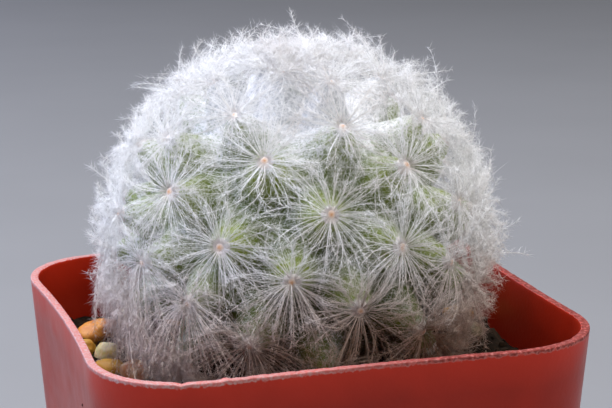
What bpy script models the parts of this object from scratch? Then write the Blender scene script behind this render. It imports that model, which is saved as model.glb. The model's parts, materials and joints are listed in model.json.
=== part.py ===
"""A feather cactus in a square plastic nursery pot.

Metres, +Z up. The origin is the middle of the pot's underside, +X runs along the pot's front side and +Y
to its back. The pot, the soil, the cactus and every pebble are one object each.
"""

import math

import bmesh
import bpy
import numpy as np
from mathutils import Euler, Matrix, Vector, noise

# The pot: a tapered square shell with round corners, whose sides are drawn in a little at the rim
RIM_WIDTH = 0.055
BASE_WIDTH = 0.046
POT_HEIGHT = 0.050
WALL = 0.00095
RIM_ROUNDING = 0.00028
CORNER_RADIUS = 0.012
DRAWN_IN = {"left": 0.0017, "front": 0.00115, "right": 0.0009, "back": 0.0012}
CORNER_STEPS = 6
SIDE_STEPS = 4
DRAIN_RADIUS = 0.0018
DRAIN_OFFSET = 0.0100
DRAIN_SIDES = 12
EDGE_ANGLE = math.radians(50.0)

# Pieces that lie on each other are this far apart
GAP = 0.0003
SOIL_TO_WALL = 1.5 * GAP
NECK_ROOM = 3 * GAP
SPINE_TO_WALL = 3 * GAP

# The soil, with a plain hole for the plant's neck
SOIL_DEPTH = 0.0068
SOIL_SWELL = 0.0011
SWELL_LENGTH = 0.0085
SWELL_START = (2.6, 0.6)
SOIL_CRUMB = 0.0006
CRUMB_SIZE = 0.0035
CRUMB_FADE = 0.6
CRUMB_FINER = 2.0
CRUMB_LAYERS = 3
SOIL_RINGS = 6
SOIL_FOOT = 0.0008

# The plant: a ball of tubercles on a neck that goes down into the soil
BALL_ABOVE_RIM = 0.0069
CORE_RADIUS = 0.0150
CORE_STEPS = 18
CORE_ROWS = 9
NECK_RADIUS = 0.0080
NECK_DEPTH = 0.0050
ROOT_RADIUS = 0.0040

# The areoles stand on the spiral of a golden angle, each taking the same share of the ball
SPIRAL_TURN = math.radians(137.53)
SPIRAL_START = math.radians(257.3)
SPIRAL_DROP = 0.0269
FIRST_DROP = 0.62
LOWEST_STAR = -0.57
YOUNG_STARS = 3
YOUNG_DROP = 0.55
YOUNG_SIZE = 0.62
LEAN_BACK = math.radians(4.0)
LEAN_LEFT = math.radians(-4.9)
# How far stars have grown off the spiral, in degrees round and degrees up
OFF_SPIRAL = {
    6: (-12.3, 3.0),
    11: (3.9, 0.8),
    14: (2.2, -1.3),
    16: (-0.2, 2.9),
    19: (2.9, -0.2),
    21: (-4.0, 0.5),
    24: (1.5, -0.2),
    26: (-1.4, -4.1),
    27: (3.0, -4.3),
    29: (-1.7, -0.2),
    32: (2.7, -0.7),
    34: (0.1, -1.4),
    37: (-0.6, 2.0),
    40: (2.4, 1.1),
    42: (-1.1, 1.7),
    45: (-1.3, 2.9),
    50: (-2.9, 1.4),
    53: (2.8, 2.1),
}

# A tubercle's rings, as (distance from the ball's centre, radius), and the tip they close on
TUBERCLE_SIDES = 5
TUBERCLE_RINGS = ((0.0138, 0.0025), (0.0178, 0.0021), (0.0191, 0.00125))
TUBERCLE_TIP = 0.0202

# The spines of one star, as three-sided needles that rise from the areole and arch over
SPINES_PER_STAR = 10
YOUNG_SPINES = 6
SPINE_LENGTH = 0.0079
SPINE_RADIUS = 0.00023
SPINE_HUB = 0.0193
SPINE_ROOT = 0.08
SPINE_BEND = 0.42
SPINE_ARCH = 0.38
LOW_RISE = math.radians(8.0)
HIGH_RISE = math.radians(54.0)
CROWN_RISE = math.radians(22.0)
CROWN_ANGLE = math.radians(38.0)
GOLDEN = 0.618034
STAR_OFFSET = 0.37
SPINE_STRIDE = 3
TURN_DRAW = 0.3
RISE_DRAW = 0.1
SHORTEST_SPINE = 0.88
LONGEST_SPINE = 1.08
DRAWS_PER_SPINE = 16
PROBES = 20
FREE_FROM = 0.3
SPINE_CLEARANCE = 0.00042
AREOLE_CLEARANCE = 0.0013
SOIL_CLEARANCE = 0.0009
SEED = 11

# The pebbles: name, place, (length, width, height), turn, tone
PEBBLE_REST = 0.16
PEBBLE_ROUGHNESS = 0.16
PEBBLE_GRAIN = 1.4
PEBBLE_DRAW = 5000
PEBBLE_TILT = 0.12
PEBBLES = (
    ("pebble_01", (-0.0194, 0.0152), (0.0058, 0.0034, 0.0029), 42, "amber"),
    ("pebble_02", (-0.0218, 0.0096), (0.0025, 0.0023, 0.0023), 10, "gold"),
    ("pebble_03", (-0.0199, 0.0066), (0.0027, 0.0029, 0.0031), 80, "cream"),
    ("pebble_04", (-0.0212, 0.0006), (0.0038, 0.0025, 0.0023), -30, "gold"),
    ("pebble_05", (-0.0188, -0.0027), (0.0028, 0.0033, 0.0027), 15, "peach"),
    ("pebble_06", (-0.0080, 0.0224), (0.0034, 0.0028, 0.0026), -50, "gold"),
    ("pebble_07", (-0.0135, 0.0219), (0.0036, 0.0040, 0.0030), 25, "cream"),
    ("pebble_08", (-0.0219, -0.0112), (0.0040, 0.0030, 0.0026), 70, "amber"),
    ("pebble_09", (-0.0196, -0.0168), (0.0042, 0.0032, 0.0028), -20, "olive"),
    ("pebble_10", (-0.0148, -0.0214), (0.0046, 0.0034, 0.0030), 35, "gold"),
    ("pebble_11", (0.0214, -0.0080), (0.0046, 0.0034, 0.0026), 60, "olive"),
    ("pebble_12", (0.0196, -0.0165), (0.0038, 0.0032, 0.0026), -35, "amber"),
    ("pebble_13", (0.0145, -0.0212), (0.0042, 0.0034, 0.0028), 15, "peach"),
    ("pebble_14", (0.0226, 0.0042), (0.0024, 0.0028, 0.0019), 0, "olive"),
    ("pebble_15", (0.0227, 0.0092), (0.0034, 0.0040, 0.0028), 20, "gold"),
    ("pebble_16", (0.0200, 0.0152), (0.0044, 0.0034, 0.0032), -40, "amber"),
    ("pebble_17", (0.0148, 0.0210), (0.0040, 0.0034, 0.0028), 10, "cream"),
    ("pebble_18", (0.0205, 0.0202), (0.0034, 0.0028, 0.0026), 45, "peach"),
)

# Colours in linear light, roughness
FINISHES = {
    "pot_plastic": ((0.300, 0.040, 0.026), 0.38),
    "soil": ((0.030, 0.018, 0.011), 0.95),
    "tubercle_green": ((0.150, 0.230, 0.055), 0.60),
    "spine_white": ((0.820, 0.820, 0.840), 0.55),
    "pebble_amber": ((0.560, 0.230, 0.040), 0.45),
    "pebble_gold": ((0.520, 0.290, 0.045), 0.50),
    "pebble_cream": ((0.760, 0.620, 0.330), 0.45),
    "pebble_peach": ((0.550, 0.260, 0.150), 0.50),
    "pebble_olive": ((0.150, 0.130, 0.050), 0.60),
}
GREEN_SLOT = 0
WHITE_SLOT = 1
SMOOTH_BELOW = math.radians(42.0)

BALL_CENTRE = np.array([0.0, 0.0, POT_HEIGHT + BALL_ABOVE_RIM])
SOIL_LEVEL = POT_HEIGHT - SOIL_DEPTH


def clear_scene():
    for obj in list(bpy.data.objects):
        bpy.data.objects.remove(obj)


def new_collection(name, parent):
    collection = bpy.data.collections.new(name)
    parent.children.link(collection)
    return collection


def material(name):
    colour, roughness = FINISHES[name]
    found = bpy.data.materials.get(name)
    if found is None:
        found = bpy.data.materials.new(name)
        found.use_nodes = True
        shader = found.node_tree.nodes["Principled BSDF"]
        shader.inputs["Base Color"].default_value = (*colour, 1.0)
        shader.inputs["Roughness"].default_value = roughness
        shader.inputs["Metallic"].default_value = 0.0
    return found


def new_object(name, mesh, collection, *finishes):
    obj = bpy.data.objects.new(name, mesh)
    collection.objects.link(obj)
    for finish in finishes:
        mesh.materials.append(material(finish))
    return obj


def new_cutter(name, mesh, collection):
    cutter = new_object(name, mesh, collection)
    cutter.hide_render = True
    cutter.display_type = "WIRE"
    return cutter


def shade_round(mesh):
    mesh.shade_smooth()
    mesh.set_sharp_from_angle(angle=SMOOTH_BELOW)


def lofted(rings, start_cap=True, tip=None):
    """Vertices and faces of a skin from ring to ring. Its start is closed by a flat cap, if it has one, and
    its end by a fan to the tip or by a flat cap. Rings run anticlockwise about the way the loft goes."""
    rings = np.asarray(rings, dtype=float)
    count, sides = rings.shape[:2]
    vertices = rings.reshape(-1, 3).tolist()
    faces = []
    for first in range(0, (count - 1) * sides, sides):
        for side in range(sides):
            after = (side + 1) % sides
            faces.append((first + side, first + after, first + sides + after, first + sides + side))
    if start_cap:
        faces.append(tuple(reversed(range(sides))))
    last = (count - 1) * sides
    if tip is not None:
        vertices.append(list(tip))
        faces += [(last + side, last + (side + 1) % sides, count * sides) for side in range(sides)]
    return vertices, faces, tuple(range(last, last + sides))


def mesh_of(name, parts):
    """One mesh of several lofts, which stay clear of each other."""
    vertices = []
    faces = []
    for part_vertices, part_faces in parts:
        start = len(vertices)
        vertices += part_vertices
        faces += [tuple(start + corner for corner in face) for face in part_faces]
    mesh = bpy.data.meshes.new(name)
    mesh.from_pydata(vertices, [], faces)
    return mesh


def outline_columns():
    """Each column of the pot's outline as the corner it belongs to, from -1 to 1 each way, and the
    direction in which the corner's arc carries it out."""
    corners = []
    arcs = []
    for quarter in range(4):
        turn = Matrix.Rotation(quarter * math.pi / 2, 2)
        for step in range(CORNER_STEPS + 1):
            angle = step / CORNER_STEPS * math.pi / 2
            corners.append(turn @ Vector((1.0, 1.0)))
            arcs.append(turn @ Vector((math.cos(angle), math.sin(angle))))
        for step in range(1, SIDE_STEPS):
            corners.append(turn @ Vector((1.0 - 2.0 * step / SIDE_STEPS, 1.0)))
            arcs.append(turn @ Vector((0.0, 1.0)))
    return np.array(corners), np.array(arcs)


CORNERS, ARCS = outline_columns()


def outline(heights, inset=0.0):
    """The pot's outline at a height, or at a height for each column, moved in by inset."""
    heights = np.broadcast_to(heights, len(CORNERS))
    level = (heights / POT_HEIGHT)[:, None]
    half = (BASE_WIDTH + (RIM_WIDTH - BASE_WIDTH) * level) / 2
    radius = CORNER_RADIUS * 2 * half / RIM_WIDTH
    points = CORNERS * (half - radius) + ARCS * (radius - inset)
    x, y = (points / half).T
    sideways = np.where(x > 0, -DRAWN_IN["right"], DRAWN_IN["left"]) * (1 - y**2) * x**2
    lengthways = np.where(y > 0, -DRAWN_IN["back"], DRAWN_IN["front"]) * (1 - x**2) * y**2
    points = points + np.column_stack([sideways, lengthways]) * level
    return np.column_stack([points, heights])


def boolean(obj, operation, collection, solver="EXACT"):
    modifier = obj.modifiers.new(operation.lower(), "BOOLEAN")
    modifier.operation = operation
    modifier.operand_type = "COLLECTION"
    modifier.collection = collection
    modifier.solver = solver


def build_pot(parts, cutters):
    vertices, faces, _ = lofted([outline(0.0), outline(POT_HEIGHT)])
    mesh = mesh_of("pot", [(vertices, faces)])
    pot = new_object("pot", mesh, parts, "pot_plastic")
    shade_round(mesh)
    shell = pot.modifiers.new("wall", "SOLIDIFY")
    shell.thickness = WALL
    shell.offset = -1.0
    shell.use_even_offset = True
    rounding = pot.modifiers.new("rounded edges", "BEVEL")
    rounding.width = RIM_ROUNDING
    rounding.segments = 2
    rounding.limit_method = "ANGLE"
    rounding.angle_limit = EDGE_ANGLE
    drains = new_collection("drains", cutters)
    for across in (-DRAIN_OFFSET, DRAIN_OFFSET):
        for along in (-DRAIN_OFFSET, DRAIN_OFFSET):
            build_drain((across, along, WALL / 2), drains)
    boolean(pot, "DIFFERENCE", drains)


def build_drain(place, drains):
    mesh = bpy.data.meshes.new("drain")
    shape = bmesh.new()
    bmesh.ops.create_cone(
        shape,
        cap_ends=True,
        segments=DRAIN_SIDES,
        radius1=DRAIN_RADIUS,
        radius2=DRAIN_RADIUS,
        depth=3 * WALL,
    )
    shape.to_mesh(mesh)
    shape.free()
    new_cutter("drain", mesh, drains).location = place


def soil_height(x, y):
    """The soil's surface: a slow swell across the pot, with crumbs of layered noise on it."""
    across, along = SWELL_START
    swell = math.sin(x / SWELL_LENGTH + across) * math.cos(y / SWELL_LENGTH + along)
    place = Vector((x, y, 0.0)) / CRUMB_SIZE
    crumbs = noise.fractal(place, CRUMB_FADE, CRUMB_FINER, CRUMB_LAYERS)
    return SOIL_LEVEL + SOIL_SWELL * swell + SOIL_CRUMB * crumbs


def on_soil(points):
    heights = [soil_height(x, y) for x, y in points]
    return np.column_stack([points, heights])


def build_soil(parts, cutters):
    """Lofted from the underside up the pot's wall, in over the surface and down into the neck's hole."""
    inset = WALL + SOIL_TO_WALL
    floor = WALL + GAP
    wall = outline(SOIL_LEVEL, inset)
    edge = outline(on_soil(wall[:, :2])[:, 2], inset)
    around = np.arctan2(edge[:, 1], edge[:, 0])
    hole = (NECK_RADIUS + NECK_ROOM) * np.column_stack([np.cos(around), np.sin(around)])
    rings = [outline(floor, inset + SOIL_FOOT), outline(floor + SOIL_FOOT, inset), edge]
    for step in range(1, SOIL_RINGS + 1):
        rings.append(on_soil(edge[:, :2] + (hole - edge[:, :2]) * step / SOIL_RINGS))
    hole_floor = SOIL_LEVEL - NECK_DEPTH - GAP
    rings.append(np.column_stack([hole, np.full(len(hole), hole_floor)]))
    rings[0][:, 2] = floor
    rings[1][:, 2] = floor + SOIL_FOOT
    vertices, faces, end = lofted(rings)
    mesh = mesh_of("soil", [(vertices, faces + [end])])
    soil = new_object("soil", mesh, parts, "soil")
    shade_round(mesh)
    seats = new_collection("pebble seats", cutters)
    for name, place, size, turn, _ in PEBBLES:
        grown = [side + 2 * GAP for side in size]
        seat = new_cutter(name + "_seat", pebble_mesh(name + "_seat", size, grown), seats)
        place_pebble(seat, place, size, turn)
    boolean(soil, "DIFFERENCE", seats)


def pebble_mesh(name, size, grown):
    """A round stone: a sphere pushed in and out by noise that its own size starts, then stretched."""
    mesh = bpy.data.meshes.new(name)
    shape = bmesh.new()
    bmesh.ops.create_icosphere(shape, subdivisions=2, radius=0.5)
    start = Vector(size) * PEBBLE_DRAW
    for vertex in shape.verts:
        push = noise.noise(vertex.co * PEBBLE_GRAIN + start)
        vertex.co = vertex.co * (1 + PEBBLE_ROUGHNESS * push)
    bmesh.ops.scale(shape, vec=Vector(grown), verts=shape.verts)
    shape.to_mesh(mesh)
    shape.free()
    return mesh


def place_pebble(obj, place, size, turn):
    height = soil_height(*place) + PEBBLE_REST * size[2]
    obj.location = (*place, height)
    tilt = (PEBBLE_TILT * math.sin(turn), PEBBLE_TILT * math.cos(turn))
    obj.rotation_euler = Euler((*tilt, math.radians(turn)))


def build_pebbles(parts):
    for name, place, size, turn, tone in PEBBLES:
        mesh = pebble_mesh(name, size, size)
        shade_round(mesh)
        pebble = new_object(name, mesh, parts, "pebble_" + tone)
        place_pebble(pebble, place, size, turn)


def star_directions():
    """Unit vectors from the ball's centre to the areoles, youngest first: each next one is a golden angle
    round and the same drop lower, the young ones of the crown are closer, and the spiral leans with the
    plant. Some have grown a little off it."""
    lean = np.array(Matrix.Rotation(LEAN_LEFT, 3, "Y") @ Matrix.Rotation(LEAN_BACK, 3, "X"))
    index = np.arange(-YOUNG_STARS, int(2 / SPIRAL_DROP))
    young = FIRST_DROP * YOUNG_DROP ** np.maximum(-index, 0)
    down = 1 - SPIRAL_DROP * (np.maximum(index, 0) + young)
    out = np.sqrt(1 - down**2)
    turn = SPIRAL_START + index * SPIRAL_TURN
    x, y, z = (np.column_stack([out * np.cos(turn), out * np.sin(turn), down]) @ lean.T).T
    around, height = np.arctan2(y, x), np.arcsin(z)
    for number, (aside, up) in OFF_SPIRAL.items():
        around[number] += math.radians(aside)
        height[number] += math.radians(up)
    flat = np.cos(height)
    directions = np.column_stack([flat * np.cos(around), flat * np.sin(around), np.sin(height)])
    return directions[directions[:, 2] > LOWEST_STAR]


def frame_about(direction):
    """Two unit vectors square to the direction, which make a right-handed set with it."""
    first = Vector(direction).orthogonal().normalized()
    second = Vector(direction).cross(first)
    return np.array(first), np.array(second)


def ring_about(centre, direction, radius, sides):
    first, second = frame_about(direction)
    around = np.arange(sides) * 2 * math.pi / sides
    spokes = np.outer(np.cos(around), first) + np.outer(np.sin(around), second)
    return centre + radius * spokes


def tubercle(number, direction):
    """A nipple of the ball: rings that narrow to the areole at its tip."""
    size = YOUNG_SIZE if number < YOUNG_STARS else 1.0
    rings = [
        ring_about(BALL_CENTRE + reach * direction, direction, size * radius, TUBERCLE_SIDES)
        for reach, radius in TUBERCLE_RINGS
    ]
    vertices, faces, _ = lofted(rings, tip=BALL_CENTRE + TUBERCLE_TIP * direction)
    return vertices, faces


def spine_points(direction, around, rise, length):
    """Root, bend and tip of a spine: it goes out from the areole while it rises, and rises ever less, so
    that it arches over. It stays above the soil."""
    first, second = frame_about(direction)
    outward = math.cos(around) * first + math.sin(around) * second
    hub = BALL_CENTRE + SPINE_HUB * direction
    points = []
    for step in (-SPINE_ROOT, SPINE_BEND, 1.0):
        across = length * math.cos(rise) * step
        up = length * math.sin(rise) * (step - SPINE_ARCH * step * abs(step))
        points.append(hub + across * outward + up * direction)
    for point in points[1:]:
        point[2] = max(point[2], soil_height(point[0], point[1]) + SOIL_CLEARANCE)
    return np.array(points)


def probes_on(points):
    """Places at equal steps along the spine's two straight halves."""
    steps = np.linspace(0.0, 2.0, PROBES)
    return np.column_stack([np.interp(steps, (0, 1, 2), points[:, axis]) for axis in range(3)])


def inside_pot(probes):
    """Whether the spine stays clear of the pot's wall, which stands round it up to the rim."""
    low = probes[probes[:, 2] < POT_HEIGHT + GAP]
    room = RIM_WIDTH / 2 - max(DRAWN_IN.values()) - WALL - SPINE_TO_WALL
    room = room - (RIM_WIDTH - BASE_WIDTH) / 2 * (1 - low[:, 2] / POT_HEIGHT)
    return bool((np.abs(low[:, :2]).max(axis=1, initial=0.0) < room).all())


def nearest(points, others):
    return np.linalg.norm(points[:, None] - others[None], axis=2).min(initial=1.0)


def clear_of_pebbles(probes):
    for _, place, size, _, _ in PEBBLES:
        middle = np.array([*place, soil_height(*place) + PEBBLE_REST * size[2]])
        if nearest(probes, middle[None]) < max(size) / 2 + GAP:
            return False
    return True


def all_spines():
    """The spines in layers, where layer k holds the k-th spine of each star. Every spine is the first of a
    few seeded draws that keeps clear of all before it; where none does, it is left out."""
    draw = np.random.default_rng(SEED)
    directions = star_directions()
    areoles = BALL_CENTRE + TUBERCLE_TIP * directions
    free = int(FREE_FROM * PROBES)
    placed = np.empty((0, 3))
    layers = [[] for _ in range(SPINES_PER_STAR)]
    for number, direction in enumerate(directions):
        lift = CROWN_RISE * max(0.0, 1 - math.acos(direction[2]) / CROWN_ANGLE)
        other_areoles = np.delete(areoles, number, axis=0)
        star = np.empty((0, 3))
        placed_star = []
        is_young = number < YOUNG_STARS
        size = YOUNG_SIZE if is_young else 1.0
        for layer in range(YOUNG_SPINES if is_young else SPINES_PER_STAR):
            slot = (layer + STAR_OFFSET * number) * SPINE_STRIDE * 2 * math.pi / SPINES_PER_STAR
            level = layer * GOLDEN % 1.0
            for _ in range(DRAWS_PER_SPINE):
                around = slot + draw.uniform(-TURN_DRAW, TURN_DRAW)
                rise = LOW_RISE + (HIGH_RISE - LOW_RISE) * level + lift
                rise += draw.uniform(-RISE_DRAW, RISE_DRAW)
                length = SPINE_LENGTH * size * draw.uniform(SHORTEST_SPINE, LONGEST_SPINE)
                points = spine_points(direction, around, rise, length)
                probes = probes_on(points)
                if (
                    nearest(probes, placed) > SPINE_CLEARANCE
                    and nearest(probes[free:], star) > SPINE_CLEARANCE
                    and nearest(probes, other_areoles) > AREOLE_CLEARANCE
                    and inside_pot(probes)
                    and clear_of_pebbles(probes)
                ):
                    star = np.vstack([star, probes[free:]])
                    placed_star.append(probes)
                    layers[layer].append(points)
                    break
        placed = np.vstack([placed, *placed_star])
    return layers


def spine(points):
    """A three-sided needle from its point in the areole out to its bend and on to the tip's point."""
    root, bend, tip = points
    middle = ring_about(bend, (tip - root) / np.linalg.norm(tip - root), SPINE_RADIUS, 3)
    vertices, faces, _ = lofted([middle], start_cap=False, tip=tip)
    vertices.append(root.tolist())
    faces += [(4, (side + 1) % 3, side) for side in range(3)]
    return vertices, faces


def build_core(parts):
    """The ball and its neck, turned about Z from a profile that runs down from the crown."""
    neck_angle = math.pi - math.asin(NECK_RADIUS / CORE_RADIUS)
    profile = []
    for row in range(CORE_ROWS + 1):
        angle = neck_angle * row / CORE_ROWS
        profile.append((CORE_RADIUS * math.sin(angle), BALL_CENTRE[2] + CORE_RADIUS * math.cos(angle)))
    root_end = SOIL_LEVEL - NECK_DEPTH
    profile.append((NECK_RADIUS, root_end + NECK_RADIUS - ROOT_RADIUS))
    profile.append((ROOT_RADIUS, root_end))
    profile.append((0.0, root_end))
    vertices = [(radius, 0.0, height) for radius, height in profile]
    edges = [(point, point + 1) for point in range(len(vertices) - 1)]
    mesh = bpy.data.meshes.new("cactus")
    mesh.from_pydata(vertices, edges, [])
    core = new_object("cactus", mesh, parts, "tubercle_green", "spine_white")
    turned = core.modifiers.new("turned", "SCREW")
    turned.axis = "Z"
    turned.steps = CORE_STEPS
    turned.render_steps = CORE_STEPS
    turned.use_merge_vertices = True
    turned.merge_threshold = 0.00001
    return core


def add_grown(name, shapes, slot, grown):
    mesh = mesh_of(name, shapes)
    new_object(name, mesh, grown, "tubercle_green", "spine_white")
    mesh.polygons.foreach_set("material_index", [slot] * len(mesh.polygons))


def build_cactus(parts):
    """The ball, its tubercles and its spines, joined in one grown solid."""
    core = build_core(parts)
    grown = new_collection("grown", bpy.context.scene.collection)
    add_grown("tubercles", [tubercle(*star) for star in enumerate(star_directions())], GREEN_SLOT, grown)
    for number, layer in enumerate(all_spines()):
        add_grown(f"spines_{number}", [spine(points) for points in layer], WHITE_SLOT, grown)
    boolean(core, "UNION", grown, solver="MANIFOLD")
    bpy.context.view_layer.update()
    graph = bpy.context.evaluated_depsgraph_get()
    joined = bpy.data.meshes.new_from_object(core.evaluated_get(graph))
    core.modifiers.clear()
    core.data = joined
    joined.name = "cactus"
    shade_round(joined)
    for obj in list(grown.objects):
        bpy.data.objects.remove(obj)
    bpy.data.collections.remove(grown)


def main():
    clear_scene()
    root = bpy.context.scene.collection
    parts = new_collection("feather_cactus", root)
    cutters = new_collection("cutters", root)
    build_pot(parts, cutters)
    build_soil(parts, cutters)
    build_pebbles(parts)
    build_cactus(parts)


main()
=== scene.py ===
"""The looks of a feather cactus in a square plastic nursery pot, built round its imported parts.

Metres, +Z up. The origin is the middle of the pot's underside, +X runs along the pot's front side and +Y
to its back. Each piece is a surface worked out as whole arrays and put into one mesh.
"""

import json
import math

import bpy
import numpy as np
from bpy.props import FloatProperty, FloatVectorProperty, IntProperty, PointerProperty
from mathutils import Matrix, Vector

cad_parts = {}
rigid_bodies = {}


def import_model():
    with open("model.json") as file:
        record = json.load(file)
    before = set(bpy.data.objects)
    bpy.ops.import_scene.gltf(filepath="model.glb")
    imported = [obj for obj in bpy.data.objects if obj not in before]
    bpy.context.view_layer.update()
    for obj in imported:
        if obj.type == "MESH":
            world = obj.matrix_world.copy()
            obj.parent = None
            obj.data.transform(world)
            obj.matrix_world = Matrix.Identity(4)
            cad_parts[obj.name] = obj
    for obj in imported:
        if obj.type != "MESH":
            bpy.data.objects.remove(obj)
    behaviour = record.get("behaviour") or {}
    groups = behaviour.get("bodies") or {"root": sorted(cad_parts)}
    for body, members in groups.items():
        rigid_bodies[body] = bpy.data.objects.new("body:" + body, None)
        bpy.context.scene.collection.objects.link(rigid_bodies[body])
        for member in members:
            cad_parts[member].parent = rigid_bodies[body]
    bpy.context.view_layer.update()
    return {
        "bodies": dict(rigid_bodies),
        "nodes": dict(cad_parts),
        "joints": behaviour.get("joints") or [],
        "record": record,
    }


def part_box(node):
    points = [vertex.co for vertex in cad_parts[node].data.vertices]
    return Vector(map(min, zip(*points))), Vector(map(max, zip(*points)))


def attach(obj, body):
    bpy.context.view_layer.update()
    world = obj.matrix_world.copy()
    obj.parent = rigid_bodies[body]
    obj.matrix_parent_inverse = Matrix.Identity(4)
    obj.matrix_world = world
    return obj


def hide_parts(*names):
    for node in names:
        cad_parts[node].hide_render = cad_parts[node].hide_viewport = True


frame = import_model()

bl_info = {
    "name": "Feather Cactus",
    "version": (1, 0, 0),
    "blender": (4, 5, 0),
    "location": "View3D > Sidebar > Feather Cactus",
    "description": "Dresses a feather cactus in a square nursery pot",
    "category": "Add Mesh",
}

# The pot: a tapered square shell with round corners, whose sides are drawn in a little at the rim
POT_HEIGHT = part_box("pot")[1].z
RIM_WIDTH = 0.055
BASE_WIDTH = 0.046
WALL = 0.00095
CORNER_RADIUS = 0.012
DRAWN_IN = {"left": 0.0017, "front": 0.00115, "right": 0.0009, "back": 0.0012}
CORNER_STEPS = 30
SIDE_STEPS = 96
DRAIN_RADIUS = 0.0018
DRAIN_OFFSET = 0.0100
DRAIN_SIDES = 32
FOOT_ROUNDING = 0.0009
LIP_ROUNDING = 0.00013
LIP_SCUFF = 0.00034
BELOW_SCUFF = 0.0006
SCUFF_EDGE = 0.75
CREASE = math.radians(50.0)

# Rows of the wall's section: over the roundings and the lip, up the wall as shares of its height, and
# across the floor as shares of its width
FOOT_ROWS = 5
FILLET_ROWS = 4
LIP_ROWS = 5
WALL_SHARES = np.linspace(0.1, 0.97, 4)
FLOOR_SHARES = np.linspace(0.12, 0.94, 3)

# The lip's wear: how far noise moves it, how far down that goes, how deep the front side is, and the marks
# on it as (place, depth, width). The second mark is a burr, which stands up
LIP_WEAR = 0.00005
LIP_WEAR_SIZE = 0.0008
WEAR_FADES = 0.0012
FRONT_SIDE = 0.003 - RIM_WIDTH / 2
LIP_MARKS = ((-0.0190, 0.00028, 0.00024), (-0.0147, -0.00012, 0.00030))

# The soil, between the pot's wall and the plant's neck, and how far things on it stay clear of it
SOIL_LEVEL = 0.0432
SOIL_SWELL = 0.0011
SWELL_LENGTH = 0.0085
SWELL_START = (2.6, 0.6)
SOIL_ROUGHNESS = 0.00042
SOIL_GRAIN = 0.0024
SOIL_RINGS = 22
SOIL_TO_WALL = 0.00005
FOOT_SHARE = 0.3
SOIL_CLEARANCE = 0.00025

# Loose crumbs: how their corners and axes vary, the room they leave to the wall, the neck and the corners,
# and their radii
CRUMB_COUNT = 440
CRUMB_ROWS = 3
CRUMB_SIDES = 5
CRUMB_PUSH = (0.65, 1.25)
CRUMB_STRETCH = (0.6, 1.4)
CRUMB_TO_WALL = 0.0024
CRUMB_TO_NECK = 0.003
CRUMB_TO_CORNER = 0.006
CRUMB_LEAST = 0.00022
CRUMB_RANGE = 0.00055
CRUMB_RAISED = 0.35

# The plant: a ball of tubercles on a neck
BALL_CENTRE = np.array([0.0, 0.0, 0.0569])
CORE_RADIUS = 0.0150
NECK_RADIUS = 0.0080
NECK_DEPTH = 0.0050
ROOT_RADIUS = 0.0040
BALL_ROWS = 88
BALL_COLUMNS = 184
CROWN_TILT = 0.012
TUBERCLE_TIP = 0.0199
TUBERCLE_SPREAD = 0.150
SKIN_ROUGHNESS = 0.00010
SKIN_GRAIN = 0.0011

# The areoles stand on the spiral of a golden angle, each taking the same share of the ball, but the young
# ones at the crown stand closer. The spiral leans with the plant
SPIRAL_TURN = math.radians(137.53)
SPIRAL_START = math.radians(257.3)
SPIRAL_DROP = 0.0269
FIRST_DROP = 0.62
LOWEST_STAR = -0.57
YOUNG_STARS = 3
YOUNG_DROP = 0.55
YOUNG_SIZE = 0.62
LEAN_BACK = math.radians(4.0)
LEAN_LEFT = math.radians(-4.9)
# How far stars have grown off the spiral, in degrees round and degrees up
OFF_SPIRAL = {
    6: (-12.3, 3.0), 11: (3.9, 0.8), 14: (2.2, -1.3), 16: (-0.2, 2.9),
    19: (2.9, -0.2), 21: (-4.0, 0.5), 24: (1.5, -0.2), 26: (-1.4, -4.1),
    27: (3.0, -4.3), 29: (-1.7, -0.2), 32: (2.7, -0.7), 34: (0.1, -1.4),
    37: (-0.6, 2.0), 40: (2.4, 1.1), 42: (-1.1, 1.7), 45: (-1.3, 2.9),
    50: (-2.9, 1.4), 53: (2.8, 2.1),
}

# An areole is a cap of felt, which shrinks towards the crown, between two heights of its star
AREOLE_RADIUS = 0.00105
AREOLE_HEIGHT = 0.00014
AREOLE_DROP = 0.00052
AREOLE_CROWN = 0.45
AREOLE_SHRINKS = (0.55, 0.80)
AREOLE_FUZZ = (0.88, 1.12)
AREOLE_ROWS = 5
AREOLE_SIDES = 12
AREOLE_RIM_DEPTH = 0.0004
AREOLE_DEPTH = 0.0006

# White wool on the skin: the angles from the crown's middle between which it thins out, and the shares of
# a nipple's height between which it closes round the areole
WOOL_FULL = math.radians(30.0)
WOOL_NONE = math.radians(62.0)
NIPPLE_BARE = 0.80
NIPPLE_WOOLLY = 0.97

# The spines of a star: feathers that rise from the areole's rim and arch over, sag low on the ball, and
# hang most on one side
TIERS = 5
TIER_SPINES = (0.90, 1.0, 1.0, 1.06, 1.16)
TIER_FLUFF = (1.0, 1.0, 1.0, 1.05, 1.15)
GOLDEN_TURN = math.radians(137.508)
PATH_POINTS = 7
RACHIS_SIDES = 3
RACHIS_WIDTHS = (0.75, 1.3)
RACHIS_ROOT = 1.05
RACHIS_TAPER = 0.6
HUB_LIFT = 0.00005
ROOT_RING = 0.00032
STAR_TURN = 2.4
TURN_DRAW = (-0.12, 0.12)
LOW_RISE = math.radians(-6.0)
HIGH_RISE = math.radians(51.0)
RISE_FALL = 0.62
RISE_DRAW = (-0.24, 0.24)
LENGTH_DRAW = (0.80, 1.10)
INNER_LENGTH = 0.68
STAR_LENGTHS = {10: 0.78, 13: 0.84, 14: 0.92, 18: 0.68, 22: 0.88, 27: 1.08, 31: 0.92, 40: 1.28}
CROWN_RISE = math.radians(6.0)
CROWN_ANGLE = math.radians(38.0)
ARCH = 0.40
ARCH_DRAW = (-0.14, 0.16)

# The tall spines: their share of a star's early ones, how early, and their length and arch beside others'
TALL_SHARE = 0.16
TALL_WITHIN = 0.45
TALL_LENGTH = 0.90
TALL_ARCH = 0.70

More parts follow.
